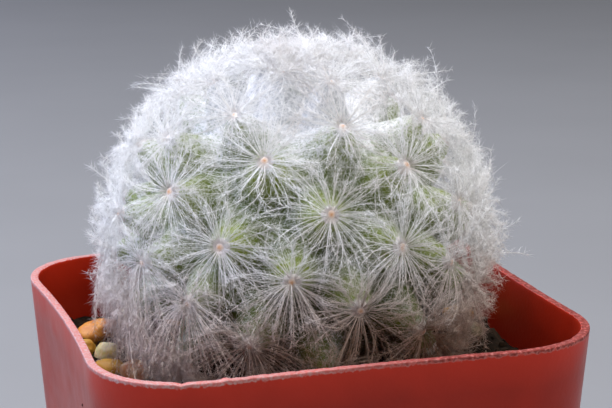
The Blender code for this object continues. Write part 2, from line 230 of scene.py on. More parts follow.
# How far a spine curls aside: most drift a little, and some stray
CURL = 1.6
DRIFT_SPREAD = 0.15
STRAY_SHARE = 0.20
STRAY_SPREAD = 0.50
DRIFT_MOST = 0.55

# How spines sweep up and down with their star's height, which is -1 to 1, and hang towards one side
UPSWEEP = 0.17
UPSWEPT = (0.40, 0.65, 0.85, 0.97)
SAG = 0.30
SAG_BELOW = 0.05
SAG_FULL = 0.5
HANG = 0.45
HANG_BELOW = 0.25
HANG_SIDE = math.radians(210.0)
HANG_FLAT = 0.50
HANG_WIDTH = math.radians(62.0)

# Barbs. Each end of a spine has its own (share of the full length, gain over the spine's length)
BARBS_FROM = 0.04
BARBS_CROWD = 0.75
BARBS_GROW = (0.35, 2.2)
BARBS_SHRINK = (0.70, 2.5)
BARB_LEAN = math.radians(42.0)
LEAN_SPREAD = 0.24
BARB_TURN = 6.3
BARB_LENGTHS = (0.55, 1.25)
BARB_RADIUS = 0.000018

# Silk: thin plain spines among the feathered ones
SILK_PER_STAR = 60
SILK_POINTS = 4
SILK_WIDTH = 0.55

# The skirt: feathers that hang from the low stars of the hanging side, down to the soil
SKIRT_COUNT = 170
SKIRT_BELOW = 0.10
SKIRT_LENGTH = (0.0062, 0.0100)
SKIRT_OUT = (0.05, 0.55)
SKIRT_ASIDE = 0.38
SKIRT_DOWN = (-0.20, 0.45)
SKIRT_FALL = 0.85
SKIRT_FLUFF = 1.25

# The short hairs round each areole, and the attributes that all of them share
HAIRS_PER_STAR = 120
HAIR_LENGTH = 0.0016
HAIR_LENGTHS = (0.45, 1.15)
HAIR_RADIUS = 0.000014
HAIR_RISE = (math.radians(-4.0), math.radians(46.0))
HAIR_RINGS = (0.9, 1.9)
HAIR_ALONG = (0.04, 0.04, 0.04, 0.14)
HAIR_TONE = 0.3

# How far spines and hairs keep from the pot's wall
WALL_CLEARANCE = 0.00035

# Seeds. The tiers of spines count up from theirs, and the skirt has the next
LATTICE_SEED = 11
SLOPE_SEED = 12
CRUMB_SEED = 13
AREOLE_SEED = 14
SPINE_SEED = 21


def colour_property(name, description, default):
    """A colour that the user may change."""
    return FloatVectorProperty(
        name=name, description=description, default=default, subtype="COLOR", size=3, min=0.0, max=1.0
    )


def length_property(name, description, default):
    """A length that the user may change, in metres."""
    return FloatProperty(
        name=name, description=description, default=default, min=0.0, precision=6, unit="LENGTH"
    )


def power_property(name, default):
    """A light's power that the user may change."""
    return FloatProperty(name=name, description="Power in watts", default=default, min=0.0)


class PotSettings(bpy.types.PropertyGroup):
    """Colours of the moulded pot."""

    plastic: colour_property("Plastic", "Colour of the moulded plastic", (0.370, 0.020, 0.007))
    worn: colour_property("Worn lip", "Colour of the scuffed lip", (0.450, 0.285, 0.275))


class GroundSettings(bpy.types.PropertyGroup):
    """Colours of the soil and its crumbs."""

    soil: colour_property("Soil", "Colour of the damp potting soil", (0.011, 0.007, 0.004))
    fibre: colour_property("Fibre", "Colour of the soil's dry fibres and grains", (0.032, 0.019, 0.011))


class PlantSettings(bpy.types.PropertyGroup):
    """Sizes and colours of the plant."""

    skin: colour_property("Skin", "Colour of the tubercles where light falls", (0.290, 0.365, 0.018))
    # Painted shade: the colour of the skin down between the tubercles
    hollow_shade: colour_property("Hollows", "Colour of the skin between the tubercles", (0.070, 0.105, 0.004))
    wool: colour_property("Wool", "Colour of the wool on the crown's skin", (0.800, 0.805, 0.830))
    felt: colour_property("Areole", "Colour of the felt in the middle of an areole", (0.600, 0.325, 0.165))
    feather: colour_property("Feather", "Colour of the spines", (0.940, 0.940, 0.945))
    # Partly painted shade: the brown of the low spines, which is partly their age
    aged_and_shaded: colour_property("Aged feather", "Colour of the oldest spines, at the soil", (0.300, 0.172, 0.112))
    spines: IntProperty(name="Spines", description="Spines of one star", default=60, min=8, max=90)
    barbs: IntProperty(name="Barbs", description="Pairs of barbs on one spine", default=28, min=1, max=120)
    spine_length: length_property("Spine length", "Length of a full-grown spine", 0.0079)
    spine_radius: length_property("Spine radius", "Radius of a spine near its root", 0.000033)
    barb_length: length_property("Barb length", "Length of a barb halfway along a spine", 0.00100)


class StageSettings(bpy.types.PropertyGroup):
    """The floor's colour and the strength of each light."""

    floor: colour_property("Floor", "Colour of the floor", (0.22, 0.22, 0.225))
    top: power_property("Top light", 4.7)
    left: power_property("Left light", 3.6)
    right: power_property("Right light", 0.9)
    front: power_property("Front light", 4.6)
    rim: power_property("Rim light", 2.0)


class FeatherCactusSettings(bpy.types.PropertyGroup):
    """All settings of the potted plant and its stage."""

    pot: PointerProperty(type=PotSettings)
    ground: PointerProperty(type=GroundSettings)
    plant: PointerProperty(type=PlantSettings)
    stage: PointerProperty(type=StageSettings)


# Meshes


def new_mesh(name, points, faces, smooth=True, **values):
    """A mesh of the points and of arrays of faces, each with its own number of corners. Each further
    argument is one number for every point, kept as an attribute of that name."""
    corners = np.concatenate([group.ravel() for group in faces]).astype(np.int32)
    sizes = np.concatenate([np.full(len(group), group.shape[1]) for group in faces])
    starts = (np.cumsum(sizes) - sizes).astype(np.int32)
    mesh = bpy.data.meshes.new(name)
    mesh.vertices.add(len(points))
    mesh.vertices.foreach_set("co", np.asarray(points, np.float32).ravel())
    mesh.loops.add(len(corners))
    mesh.loops.foreach_set("vertex_index", corners)
    mesh.polygons.add(len(sizes))
    mesh.polygons.foreach_set("loop_start", starts)
    mesh.polygons.foreach_set("use_smooth", np.full(len(sizes), smooth))
    mesh.update(calc_edges=True)
    for value, numbers in values.items():
        attribute = mesh.attributes.new(value, "FLOAT", "POINT")
        attribute.data.foreach_set("value", np.asarray(numbers, np.float32).ravel())
    return mesh


def linked(name, data):
    """A new object of the mesh, light or camera, in the scene."""
    made = bpy.data.objects.new(name, data)
    bpy.context.scene.collection.objects.link(made)
    return made


def new_piece(name, mesh, material, slot, *nodes):
    """The mesh as a piece of the object, which stands for the named nodes."""
    piece = linked(name, mesh)
    mesh.materials.append(material)
    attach(piece, "root")
    if nodes:
        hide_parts(*nodes)
    return piece


def closed_surfaces(grids, starts, ends):
    """Points and faces of equal surfaces, one for each grid of closed rows. Quads join row to row, and a
    fan of triangles closes each grid on its start point and on its end point. Columns run anticlockwise
    about the way from start to end."""
    count, rows, columns = grids.shape[:3]
    around = np.arange(columns)
    after = (around + 1) % columns
    row = np.arange(rows - 1)[:, None] * columns
    quads = np.stack([row + around, row + after, row + columns + after, row + columns + around], axis=-1)
    start = rows * columns
    last = start - columns
    first_fan = np.stack([after, around, np.full(columns, start)], axis=-1)
    last_fan = np.stack([last + around, last + after, np.full(columns, start + 1)], axis=-1)
    points = np.concatenate([grids.reshape(count, -1, 3), starts[:, None], ends[:, None]], axis=1)
    offsets = np.arange(count)[:, None, None] * points.shape[1]
    faces = [(group.reshape(-1, group.shape[-1]) + offsets).reshape(-1, group.shape[-1])
             for group in (quads, first_fan, last_fan)]
    return points.reshape(-1, 3), faces


def unit(vectors):
    """The vectors at length 1."""
    return vectors / np.linalg.norm(vectors, axis=-1, keepdims=True)


def turns(count):
    """Equal steps of angle round a circle, from 0."""
    return np.arange(count) * 2 * math.pi / count


def rings(radii, heights, turn):
    """Points of rings about Z: a row for each radius and height, a column for each turn."""
    out, up = np.asarray(radii)[:, None], np.asarray(heights)[:, None]
    return np.stack([out * np.cos(turn), out * np.sin(turn), up * np.ones_like(turn)], axis=-1)


NEARLY_UPRIGHT = 0.9


def frames_about(directions):
    """For each direction, two unit vectors square to it, which make a right-handed set with it."""
    aside = np.where(np.abs(directions[..., 2:]) < NEARLY_UPRIGHT, [0.0, 0.0, 1.0], [1.0, 0.0, 0.0])
    first = unit(np.cross(aside, directions))
    return first, np.cross(directions, first)


def turned(first, second, angle):
    """The unit vector at each angle from the first one towards the second, which is square to it."""
    return first * np.cos(angle)[..., None] + second * np.sin(angle)[..., None]


# The noise's lattice, the slopes at its corners, and how far each octave is shifted
LATTICE_SIZE = 256
OCTAVE_SHIFT = 37.5
NOISE_GAIN = 1.6
LATTICE = np.random.default_rng(LATTICE_SEED).permutation(LATTICE_SIZE)
SLOPES = unit(np.random.default_rng(SLOPE_SEED).normal(size=(LATTICE_SIZE, 3)))


def rough(points, grain, octaves=1):
    """Gradient noise of about -1 to 1: each corner of a cubic lattice has its own slope, and the slopes'
    heights at a point are blended by a quintic ease. Each further octave is half as big and as long."""
    noise = np.zeros(points.shape[:-1])
    for octave in range(octaves):
        place = points / grain * 2**octave + OCTAVE_SHIFT * (octave + 1)
        cell = np.floor(place).astype(int)
        inside = place - cell
        ease = inside**3 * (inside * (inside * 6 - 15) + 10)
        for corner in np.ndindex(2, 2, 2):
            x, y, z = np.moveaxis(cell + corner, -1, 0) % LATTICE_SIZE
            slope = SLOPES[LATTICE[(LATTICE[(LATTICE[x] + y) % LATTICE_SIZE] + z) % LATTICE_SIZE]]
            share = np.prod(np.where(corner, ease, 1 - ease), axis=-1)
            noise += share * np.sum(slope * (inside - corner), axis=-1) * NOISE_GAIN / 2**octave
    return noise


# Materials


def new_material(name, **sockets):
    """A material and its shader, with the shader's own sockets set."""
    material = bpy.data.materials.new(name)
    material.use_nodes = True
    shader = material.node_tree.nodes["Principled BSDF"]
    for socket, value in sockets.items():
        shader.inputs[socket.replace("_", " ")].default_value = value
    return material, shader


def add_node(shader, kind, inputs=(), **settings):
    """A node beside the shader. Each input is (socket, value), where a value may be another's output."""
    tree = shader.id_data
    node = tree.nodes.new("ShaderNode" + kind)
    for setting, value in settings.items():
        setattr(node, setting, value)
    for socket, value in inputs:
        if isinstance(value, bpy.types.NodeSocket):
            tree.links.new(value, node.inputs[socket])
        else:
            node.inputs[socket].default_value = value
    return node


# The colour mix node's sockets: its factor, its two colours, and its result
MIX_INPUTS = (0, 6, 7)
MIX_OUTPUT = 2


def object_place(shader):
    """The point's place on its object, in metres."""
    return add_node(shader, "TexCoord").outputs["Object"]


def noise_value(shader, grain, detail=3.0, distortion=0.0, stretch=(1.0, 1.0, 1.0)):
    """Blender's layered noise, from 0 to 1, in lumps about as long as the grain."""
    place = add_node(shader, "Mapping", [("Vector", object_place(shader)), ("Scale", stretch)])
    values = (place.outputs["Vector"], 1 / grain, detail, distortion)
    inputs = zip(("Vector", "Scale", "Detail", "Distortion"), values)
    return add_node(shader, "TexNoise", inputs).outputs["Fac"]


def attribute_value(shader, name):
    """The mesh's attribute of that name at the point."""
    return add_node(shader, "Attribute", attribute_name=name).outputs["Fac"]


def remapped(shader, value, low, high, to_low=0.0, to_high=1.0):
    """The value on a new scale, held at to_low below low and at to_high above high."""
    inputs = zip(("Value", "From Min", "From Max", "To Min", "To Max"), (value, low, high, to_low, to_high))
    return add_node(shader, "MapRange", inputs).outputs["Result"]


# The part of its range in which most noise is
MIDDLE = (0.3, 0.7)


def noise_between(shader, grain, ends, to_low=0.0, to_high=1.0, **noise):
    """Noise of this grain, with what lies between the two ends stretched over a new scale."""
    return remapped(shader, noise_value(shader, grain, **noise), *ends, to_low, to_high)


def band(shader, axis, ends, to_low=0.0, to_high=1.0):
    """A change from one value to another between two places on an axis."""
    place = add_node(shader, "SeparateXYZ", [("Vector", object_place(shader))]).outputs[axis]
    return remapped(shader, place, *ends, to_low, to_high)


def calculated(shader, operation, first, second):
    """One step of arithmetic on two values."""
    node = add_node(shader, "Math", [(0, first), (1, second)], operation=operation)
    return node.outputs["Value"]


def product(shader, value, *factors):
    """All the values multiplied, from the left."""
    for factor in factors:
        value = calculated(shader, "MULTIPLY", value, factor)
    return value


def total(shader, value, *others):
    """All the values added, from the left."""
    for other in others:
        value = calculated(shader, "ADD", value, other)
    return value


def mixed(shader, share, first, second):
    """The first colour where the share is 0, and the second where it is 1."""
    socket = bpy.types.NodeSocket
    ends = [value if isinstance(value, socket) else (*value, 1.0) for value in (first, second)]
    inputs = zip(MIX_INPUTS, (share, *ends))
    return add_node(shader, "Mix", inputs, data_type="RGBA").outputs[MIX_OUTPUT]


def connect(shader, socket, output):
    """Feeds the output to the shader's own socket."""
    shader.id_data.links.new(output, shader.inputs[socket])


def painted(shader, share, first, second):
    """Gives the shader a base colour mixed of two."""
    connect(shader, "Base Color", mixed(shader, share, first, second))


def bumped(shader, value, distance, strength=1.0):
    """Raises the shader's surface where the value is high."""
    inputs = [("Height", value), ("Distance", distance), ("Strength", strength)]
    connect(shader, "Normal", add_node(shader, "Bump", inputs).outputs["Normal"])


# Where the looks of the pot and the plant change, as two places on X or Z
# Painted shade: the lip's flat top darkens over this span towards the right
SHADED_LIP_TOP_X = (-0.006, 0.008)
SCUFFED_LIP_X = (-0.022, 0.006)
# Painted light: the pot's wall grows brighter over these heights up to the lip
PAINTED_LIGHT_WALL_Z = (POT_HEIGHT - 0.0040, POT_HEIGHT)
SHADED_SKIN_Z = (POT_HEIGHT - 0.006, POT_HEIGHT + 0.010)
LEFT_WOOL_X = (-0.0165, -0.0095)
RIGHT_WOOL_X = (0.0140, 0.0180)
# Partly painted shade: the spines turn brown below these heights, and less so over the left and right spans
AGED_AND_SHADED_SPINES_Z = (POT_HEIGHT + 0.0085, POT_HEIGHT - 0.0005)
LESS_BROWN_LEFT_X = (-0.019, -0.004)
LESS_BROWN_RIGHT_X = (0.010, 0.018)

# Hair lines painted on the skin, as (grain, width in noise), and how strongly the bare skin's web shows
COARSE_HAIRS = (0.00110, 0.050)
FINE_HAIRS = (0.00060, 0.065)
WEB_HAIRS = (0.00085, 0.026)
WEB_STRENGTH = 0.45

# Colours that only one material needs
DRY_GRIT = (0.30, 0.23, 0.16)
GREEN_GAP = (0.220, 0.270, 0.120)
# Painted shade within thick wool
WOOL_SHADE_GREY = (0.540, 0.555, 0.590)
AREOLE_EDGE = (0.84, 0.78, 0.75)
SPINE_ROOT = (0.97, 0.90, 0.87)
DUSTY_SPINE = (0.70, 0.64, 0.58)
TANNED_SPINE = (0.900, 0.715, 0.620)


def pot_plastic(settings):
    """Satin moulded plastic, faintly mottled. Painted light brightens the wall under the lip. Noise makes
    the edges of the lip's pale scuff ragged. Towards the right the scuff thins, and painted shade darkens
    the lip's flat top. Neither that shaded top nor the pot's inside has gloss."""
    material, shader = new_material("satin_pot_plastic")
    ragged = noise_between(shader, 0.0004, MIDDLE, -0.35, 0.35, detail=4.0)
    crest = total(shader, attribute_value(shader, "crest"), ragged)
    # Painted shade on the lip's flat top, which there also loses its gloss and most of its scuff
    shaded_lip_top = product(shader, remapped(shader, crest, 0.65, 1.00), band(shader, "X", SHADED_LIP_TOP_X))
    dull = calculated(shader, "MAXIMUM", attribute_value(shader, "inner"), shaded_lip_top)
    connect(shader, "Specular IOR Level", remapped(shader, dull, 0.0, 1.0, 0.30, 0.04))
    mottle = noise_between(shader, 0.006, MIDDLE, 0.88, 1.08)
    # Painted light: the wall is brighter towards the lip
    glow = band(shader, "Z", PAINTED_LIGHT_WALL_Z, 0.82, 1.25)
    bright = product(shader, mottle, glow, remapped(shader, shaded_lip_top, 0.0, 1.0, 1.0, 0.36))
    tinted = add_node(shader, "HueSaturation", [("Color", (*settings.plastic, 1.0)), ("Value", bright)])
    specks = noise_between(shader, 0.00028, (0.40, 0.62), 0.45, 1.0, detail=4.0)
    scuffed = product(shader, remapped(shader, crest, 0.40, 0.80), specks)
    thinned = band(shader, "X", SCUFFED_LIP_X, 1.0, 0.60)
    worn = product(shader, scuffed, thinned, remapped(shader, shaded_lip_top, 0.0, 1.0, 1.0, 0.30))
    painted(shader, worn, tinted.outputs["Color"], settings.worn)
    gloss = noise_between(shader, 0.003, MIDDLE, 0.30, 0.40, detail=5.0)
    connect(shader, "Roughness", total(shader, gloss, product(shader, worn, 0.28)))
    bumped(shader, noise_value(shader, 0.00045, 5.0), 0.00003, 0.6)
    return material


def damp_soil(settings):
    """Dark crumbs with dry fibres and grains among them."""
    material, shader = new_material("damp_potting_soil", Roughness=0.95, Specular_IOR_Level=0.08)
    fibres = noise_value(shader, 0.0016, 5.0, distortion=1.5, stretch=(1.0, 0.35, 1.0))
    share = remapped(shader, fibres, 0.50, 0.72)
    painted(shader, share, settings.soil, settings.fibre)
    bumped(shader, noise_value(shader, 0.0007, 6.0), 0.00025)
    return material


def soil_crumb(settings):
    """Loose crumbs, each with its own tone from damp soil to dry grit."""
    material, shader = new_material("loose_soil_crumbs", Roughness=0.9, Specular_IOR_Level=0.10)
    tone = attribute_value(shader, "tone")
    dark = mixed(shader, remapped(shader, tone, 0.2, 0.75), settings.soil, settings.fibre)
    painted(shader, remapped(shader, tone, 0.94, 1.0), dark, DRY_GRIT)
    bumped(shader, noise_value(shader, 0.0003, 4.0), 0.00006)
    return material


STONES = {
    "amber": ((0.520, 0.150, 0.010), (0.700, 0.285, 0.045), 0.55),
    "gold": ((0.480, 0.215, 0.012), (0.640, 0.360, 0.060), 0.52),
    "cream": ((0.880, 0.700, 0.260), (0.950, 0.900, 0.700), 0.45),
    "peach": ((0.740, 0.310, 0.140), (0.920, 0.620, 0.380), 0.50),
    "olive": ((0.105, 0.085, 0.035), (0.210, 0.175, 0.090), 0.60),
}


def stone(tone):
    """River stone: two tones in soft clouds, darker pits and a faint glow of light through it."""
    deep, light, roughness = STONES[tone]
    material, shader = new_material(
        "stone_" + tone, Roughness=roughness, Subsurface_Weight=0.12, Subsurface_Scale=0.0008
    )
    clouds = noise_between(shader, 0.0022, (0.38, 0.64), detail=4.0, distortion=0.8)
    pits = noise_between(shader, 0.0005, (0.60, 0.74), 0.0, 0.55, detail=5.0)
    pit = tuple(0.35 * value for value in deep)
    painted(shader, pits, mixed(shader, clouds, deep, light), pit)
    bumped(shader, noise_value(shader, 0.0006, 5.0), 0.00006)
    return material


def hair_lines(shader, grain, width):
    """Thin winding lines: 1 where noise of this grain crosses its middle value, and 0 once it is off it by
    the width."""
    off = calculated(shader, "SUBTRACT", noise_value(shader, grain), 0.5)
    return remapped(shader, calculated(shader, "ABSOLUTE", off, 0.0), 0.2 * width, width, 1.0, 0.0)


def succulent_skin(settings):
    """Waxy skin, pale on the tubercles' flanks, under a thin web of hair lines. Painted shade darkens it
    between the tubercles and near the soil. At the crown, round the areoles and on the left and right it is
    matted with white wool: two layers of hair lines over gaps, green where the wool is thin and a grey of
    painted shade where it is thick. The wool ends in tufts."""
    material, shader = new_material("tubercle_skin", Roughness=0.45)
    # Painted shade: darker from the tubercles' tips down into the hollows between them
    relief = remapped(shader, attribute_value(shader, "relief"), 0.1, 0.95)
    shade = mixed(shader, relief, settings.hollow_shade, settings.skin)
    patches = noise_between(shader, 0.0028, (0.35, 0.7), 0.70, 1.15, detail=4.0)
    bright = product(shader, patches, band(shader, "Z", SHADED_SKIN_Z, 0.30, 1.0))
    tinted = add_node(shader, "HueSaturation", [("Color", shade), ("Value", bright)])
    web = product(shader, hair_lines(shader, *WEB_HAIRS), WEB_STRENGTH)
    webbed = mixed(shader, web, tinted.outputs["Color"], settings.wool)
    wool = attribute_value(shader, "wool")
    # Green skin shows through thin wool, and thick wool gets a grey of painted shade
    gap = mixed(shader, remapped(shader, wool, 0.45, 1.0), GREEN_GAP, WOOL_SHADE_GREY)
    coarse, fine = hair_lines(shader, *COARSE_HAIRS), hair_lines(shader, *FINE_HAIRS)
    matted = mixed(shader, calculated(shader, "MAXIMUM", coarse, fine), gap, settings.wool)
    left, right = band(shader, "X", LEFT_WOOL_X, 0.50, 0.0), band(shader, "X", RIGHT_WOOL_X, 0.0, 0.60)
    woolly = calculated(shader, "MAXIMUM", wool, total(shader, left, right))
    tufts = noise_between(shader, 0.0016, MIDDLE, -0.35, 0.35, detail=5.0)
    cover = remapped(shader, total(shader, woolly, tufts), 0.1, 0.8)
    painted(shader, cover, webbed, matted)
    bumped(shader, noise_value(shader, 0.00028), 0.00003)
    return material


def areole_felt(settings):
    """Short felt: tan in the middle of the areole, pinkish white towards its edge, blurred by noise."""
    material, shader = new_material("areole_felt", Roughness=0.9, Sheen_Weight=0.3)
    blur = noise_between(shader, 0.00012, (0.0, 1.0), -0.15, 0.15)
    share = remapped(shader, total(shader, attribute_value(shader, "edge"), blur), 0.06, 0.46)
    painted(shader, share, settings.felt, AREOLE_EDGE)
    bumped(shader, noise_value(shader, 0.00008, 2.0), 0.00004)
    return material


def feather_white(settings):
    """Spines: near white, pinkish at the root and some of them dusty. Low down, where they meet the soil,
    they are tanned, and most turn brown, fewer on the left and on the right. That brown is partly aged
    spines and partly painted shade."""
    material, shader = new_material("feather_spine", Roughness=0.55, Specular_IOR_Level=0.35)
    tone = attribute_value(shader, "tone")
    root = remapped(shader, attribute_value(shader, "along"), 0.0, 0.16)
    rooted = mixed(shader, root, SPINE_ROOT, settings.feather)
    dusty = mixed(shader, remapped(shader, tone, 0.55, 1.0, 0.0, 0.35), rooted, DUSTY_SPINE)
    low = band(shader, "Z", AGED_AND_SHADED_SPINES_Z)
    tanned = mixed(shader, product(shader, low, 0.65), dusty, TANNED_SPINE)
    cloud = noise_between(shader, 0.005, MIDDLE, -0.25, 0.25)
    left, right = band(shader, "X", LESS_BROWN_LEFT_X, -0.90, 0.0), band(shader, "X", LESS_BROWN_RIGHT_X, 0.0, -0.35)
    # The brown low down, partly aged spines and partly painted shade, less on the left and the right
    age_and_shade = total(shader, total(shader, low, cloud), total(shader, left, right))
    share = product(shader, age_and_shade, remapped(shader, tone, 0.0, 1.0, 0.75, 1.0))
    clamped = add_node(shader, "Clamp", [("Value", share)]).outputs["Result"]
    painted(shader, clamped, tanned, settings.aged_and_shaded)
    return material


def studio_floor(settings):
    """A matt painted floor with a faint mottle."""
    material, shader = new_material("studio_floor", Roughness=0.85)
    darker = tuple(0.96 * value for value in settings.floor)
    mottle = noise_between(shader, 0.05, MIDDLE)
    painted(shader, mottle, darker, settings.floor)
    return material


# The pot


def outline_columns():
    """Each column of the pot's outline as the corner it belongs to, from -1 to 1 each way, and the
    direction in which the corner's arc carries it out. It runs anticlockwise from the +X side."""
    angle = np.linspace(0, math.pi / 2, CORNER_STEPS + 1)
    arc = np.column_stack([np.cos(angle), np.sin(angle)])
    along = 1.0 - 2.0 * np.arange(1, SIDE_STEPS) / SIDE_STEPS
    corner = np.vstack([np.ones_like(arc), np.column_stack([along, np.ones_like(along)])])
    away = np.vstack([arc, np.tile([0.0, 1.0], (len(along), 1))])
    quarters = [np.array(Matrix.Rotation(quarter * math.pi / 2, 2)).T for quarter in range(4)]
    return [np.vstack([side @ quarter for quarter in quarters]) for side in (corner, away)]


CORNERS, ARCS = outline_columns()


def drawn_in(x, y):
    """How far the rim's sides are drawn in at a place, given as shares of the half width: most in the
    middle of a side and nothing at its corners."""
    sideways = np.where(x > 0, -DRAWN_IN["right"], DRAWN_IN["left"]) * (1 - y**2)
    lengthways = np.where(y > 0, -DRAWN_IN["back"], DRAWN_IN["front"]) * (1 - x**2)
    return sideways, lengthways


def outline(height, inset=0.0):
    """The pot's outline at a height, moved in by inset: a rounded square that widens upwards."""
    level = height / POT_HEIGHT
    half = (BASE_WIDTH + (RIM_WIDTH - BASE_WIDTH) * level) / 2
    radius = CORNER_RADIUS * 2 * half / RIM_WIDTH
    points = CORNERS * (half - radius) + ARCS * (radius - inset)
    x, y = (points / half).T
    sideways, lengthways = drawn_in(x, y)
    points = points + np.column_stack([sideways * x**2, lengthways * y**2]) * level
    return np.column_stack([points, np.full(len(points), height)])


def pot_rows():
    """The wall's section as (height, inset, share of the outline's width, crest), where crest is 1 where
    the lip is scuffed: from the underside's middle out round the foot, up the outside, over the lip with
    its two small roundings, down the inside and in over the floor."""
    rows = [(0.0, FOOT_ROUNDING, share, 0.0) for share in FLOOR_SHARES]
    for angle in np.linspace(0.0, math.pi / 2, FOOT_ROWS):
        height, inset = FOOT_ROUNDING * (1 - math.cos(angle)), FOOT_ROUNDING * (1 - math.sin(angle))
        rows.append((height, inset, 1.0, 0.0))
    shoulder = POT_HEIGHT - LIP_ROUNDING
    heights = [*WALL_SHARES * POT_HEIGHT, POT_HEIGHT - BELOW_SCUFF]
    rows += [(height, 0.0, 1.0, 0.0) for height in heights]
    rows.append((POT_HEIGHT - LIP_SCUFF, 0.0, 1.0, SCUFF_EDGE))
    bend = np.linspace(0.0, math.pi / 2, FILLET_ROWS)
    up = list(zip(shoulder + LIP_ROUNDING * np.sin(bend), LIP_ROUNDING * (1 - np.cos(bend)), bend))
    rows += [(height, inset, 1.0, 1.0) for height, inset, _ in up]
    for inset in np.linspace(LIP_ROUNDING, WALL - LIP_ROUNDING, LIP_ROWS)[1:-1]:
        rows.append((POT_HEIGHT, inset, 1.0, 1.0))
    rows += [(height, WALL - inset, 1.0, math.sin(angle)) for height, inset, angle in reversed(up)]
    rows += [(height, WALL, 1.0, 0.0) for height in reversed(heights)]
    for angle in bend:
        height, fillet = WALL + FOOT_ROUNDING * (1 - math.sin(angle)), FOOT_ROUNDING * (1 - math.cos(angle))
        rows.append((height, WALL + fillet, 1.0, 0.0))
    return rows + [(WALL, WALL + FOOT_ROUNDING, share, 0.0) for share in reversed(FLOOR_SHARES)]


def lip_wear(points):
    """How far the lip's crest is moved down: a nick and a burr, each a bell curve along the front side,
    and fine noise. It fades out down the wall."""
    x, y, z = np.moveaxis(points, -1, 0)
    crest = np.clip(1 - (POT_HEIGHT - z) / WEAR_FADES, 0, 1)
    marks = sum(depth * np.exp(-(((x - place) / width) ** 2)) for place, depth, width in LIP_MARKS)
    return crest * (marks * (y < FRONT_SIDE) + LIP_WEAR * rough(points, LIP_WEAR_SIZE, 3))


def drain_cutters():
    """Four upright round rods through the floor, as one mesh."""
    low, high = -WALL, 3 * WALL
    places = DRAIN_OFFSET * np.array([(-1, -1), (1, -1), (1, 1), (-1, 1)])
    rod = rings([DRAIN_RADIUS, DRAIN_RADIUS], [low, high], turns(DRAIN_SIDES))
    middles = np.column_stack([places, np.zeros(4)])
    ends = (middles + [0, 0, height] for height in (low, high))
    points, faces = closed_surfaces(rod + middles[:, None, None], *ends)
    return linked("drain_cutters", new_mesh("drain_cutters", points, faces, smooth=False))


def build_pot(settings):
    """The wall's section carried round the pot's outline, with its lip worn and its floor drilled. The
    attribute inner is 1 on the pot's inside."""
    rows = pot_rows()
    grid = np.array([outline(height, inset) * [share, share, 1.0] for height, inset, share, _ in rows])
    grid[..., 2] -= lip_wear(grid)
    points, faces = closed_surfaces(grid[None], np.zeros((1, 3)), np.array([[0.0, 0.0, WALL]]))
    crest = np.repeat([row[3] for row in rows], len(CORNERS))
    inner = np.repeat([row[1] > WALL / 2 and row[0] > FOOT_ROUNDING for row in rows], len(CORNERS))
    crest, inner = np.concatenate([crest, [0.0, 0.0]]), np.concatenate([inner, [0.0, 1.0]])
    mesh = new_mesh("pot_shell", points, faces, crest=crest, inner=inner)
    piece = new_piece("pot_shell", mesh, pot_plastic(settings), "pot_plastic", "pot")
    cutter = drain_cutters()
    drill = piece.modifiers.new("drain holes", "BOOLEAN")
    drill.object = cutter
    drill.operation = "DIFFERENCE"
    drill.solver = "MANIFOLD"
    apply_modifiers(piece)
    bpy.data.objects.remove(cutter)
    piece.data.set_sharp_from_angle(angle=CREASE)


def apply_modifiers(piece):
    """Puts the piece's shape after its modifiers into its mesh."""
    bpy.context.view_layer.update()
    graph = bpy.context.evaluated_depsgraph_get()
    made = bpy.data.meshes.new_from_object(piece.evaluated_get(graph))
    piece.modifiers.clear()
    piece.data = made
    made.name = piece.name


# The ground


def soil_height(x, y):
    """The soil's surface: a slow swell across the pot, with crumbs of layered noise on it."""
    swell = np.sin(x / SWELL_LENGTH + SWELL_START[0]) * np.cos(y / SWELL_LENGTH + SWELL_START[1])
    crumbs = rough(np.stack([x, y, np.zeros_like(x)], axis=-1), SOIL_GRAIN, 3)
    return SOIL_LEVEL + SOIL_SWELL * swell + SOIL_ROUGHNESS * crumbs


def build_soil(settings):
    """A bed with the pot's outline: its underside, its edge, and rings over the surface to the neck."""
    foot = outline(2 * WALL, 2 * WALL)
    edge = outline(SOIL_LEVEL, WALL + SOIL_TO_WALL)
    around = np.arctan2(edge[:, 1], edge[:, 0])
    hole = np.column_stack([np.cos(around), np.sin(around), np.ones_like(around)]) * NECK_RADIUS
    share = np.linspace(0.0, 1.0, SOIL_RINGS)[:, None, None]
    surface = edge + (hole - edge) * share
    surface[..., 2] = soil_height(surface[..., 0], surface[..., 1])
    grid = np.concatenate([[foot * [FOOT_SHARE, FOOT_SHARE, 1.0], foot], surface])
    ends = np.array([[0.0, 0.0, 2 * WALL], [0.0, 0.0, SOIL_LEVEL]])
    points, faces = closed_surfaces(grid[None], ends[:1], ends[1:])
    new_piece("soil_bed", new_mesh("soil_bed", points, faces), damp_soil(settings), "soil", "soil")


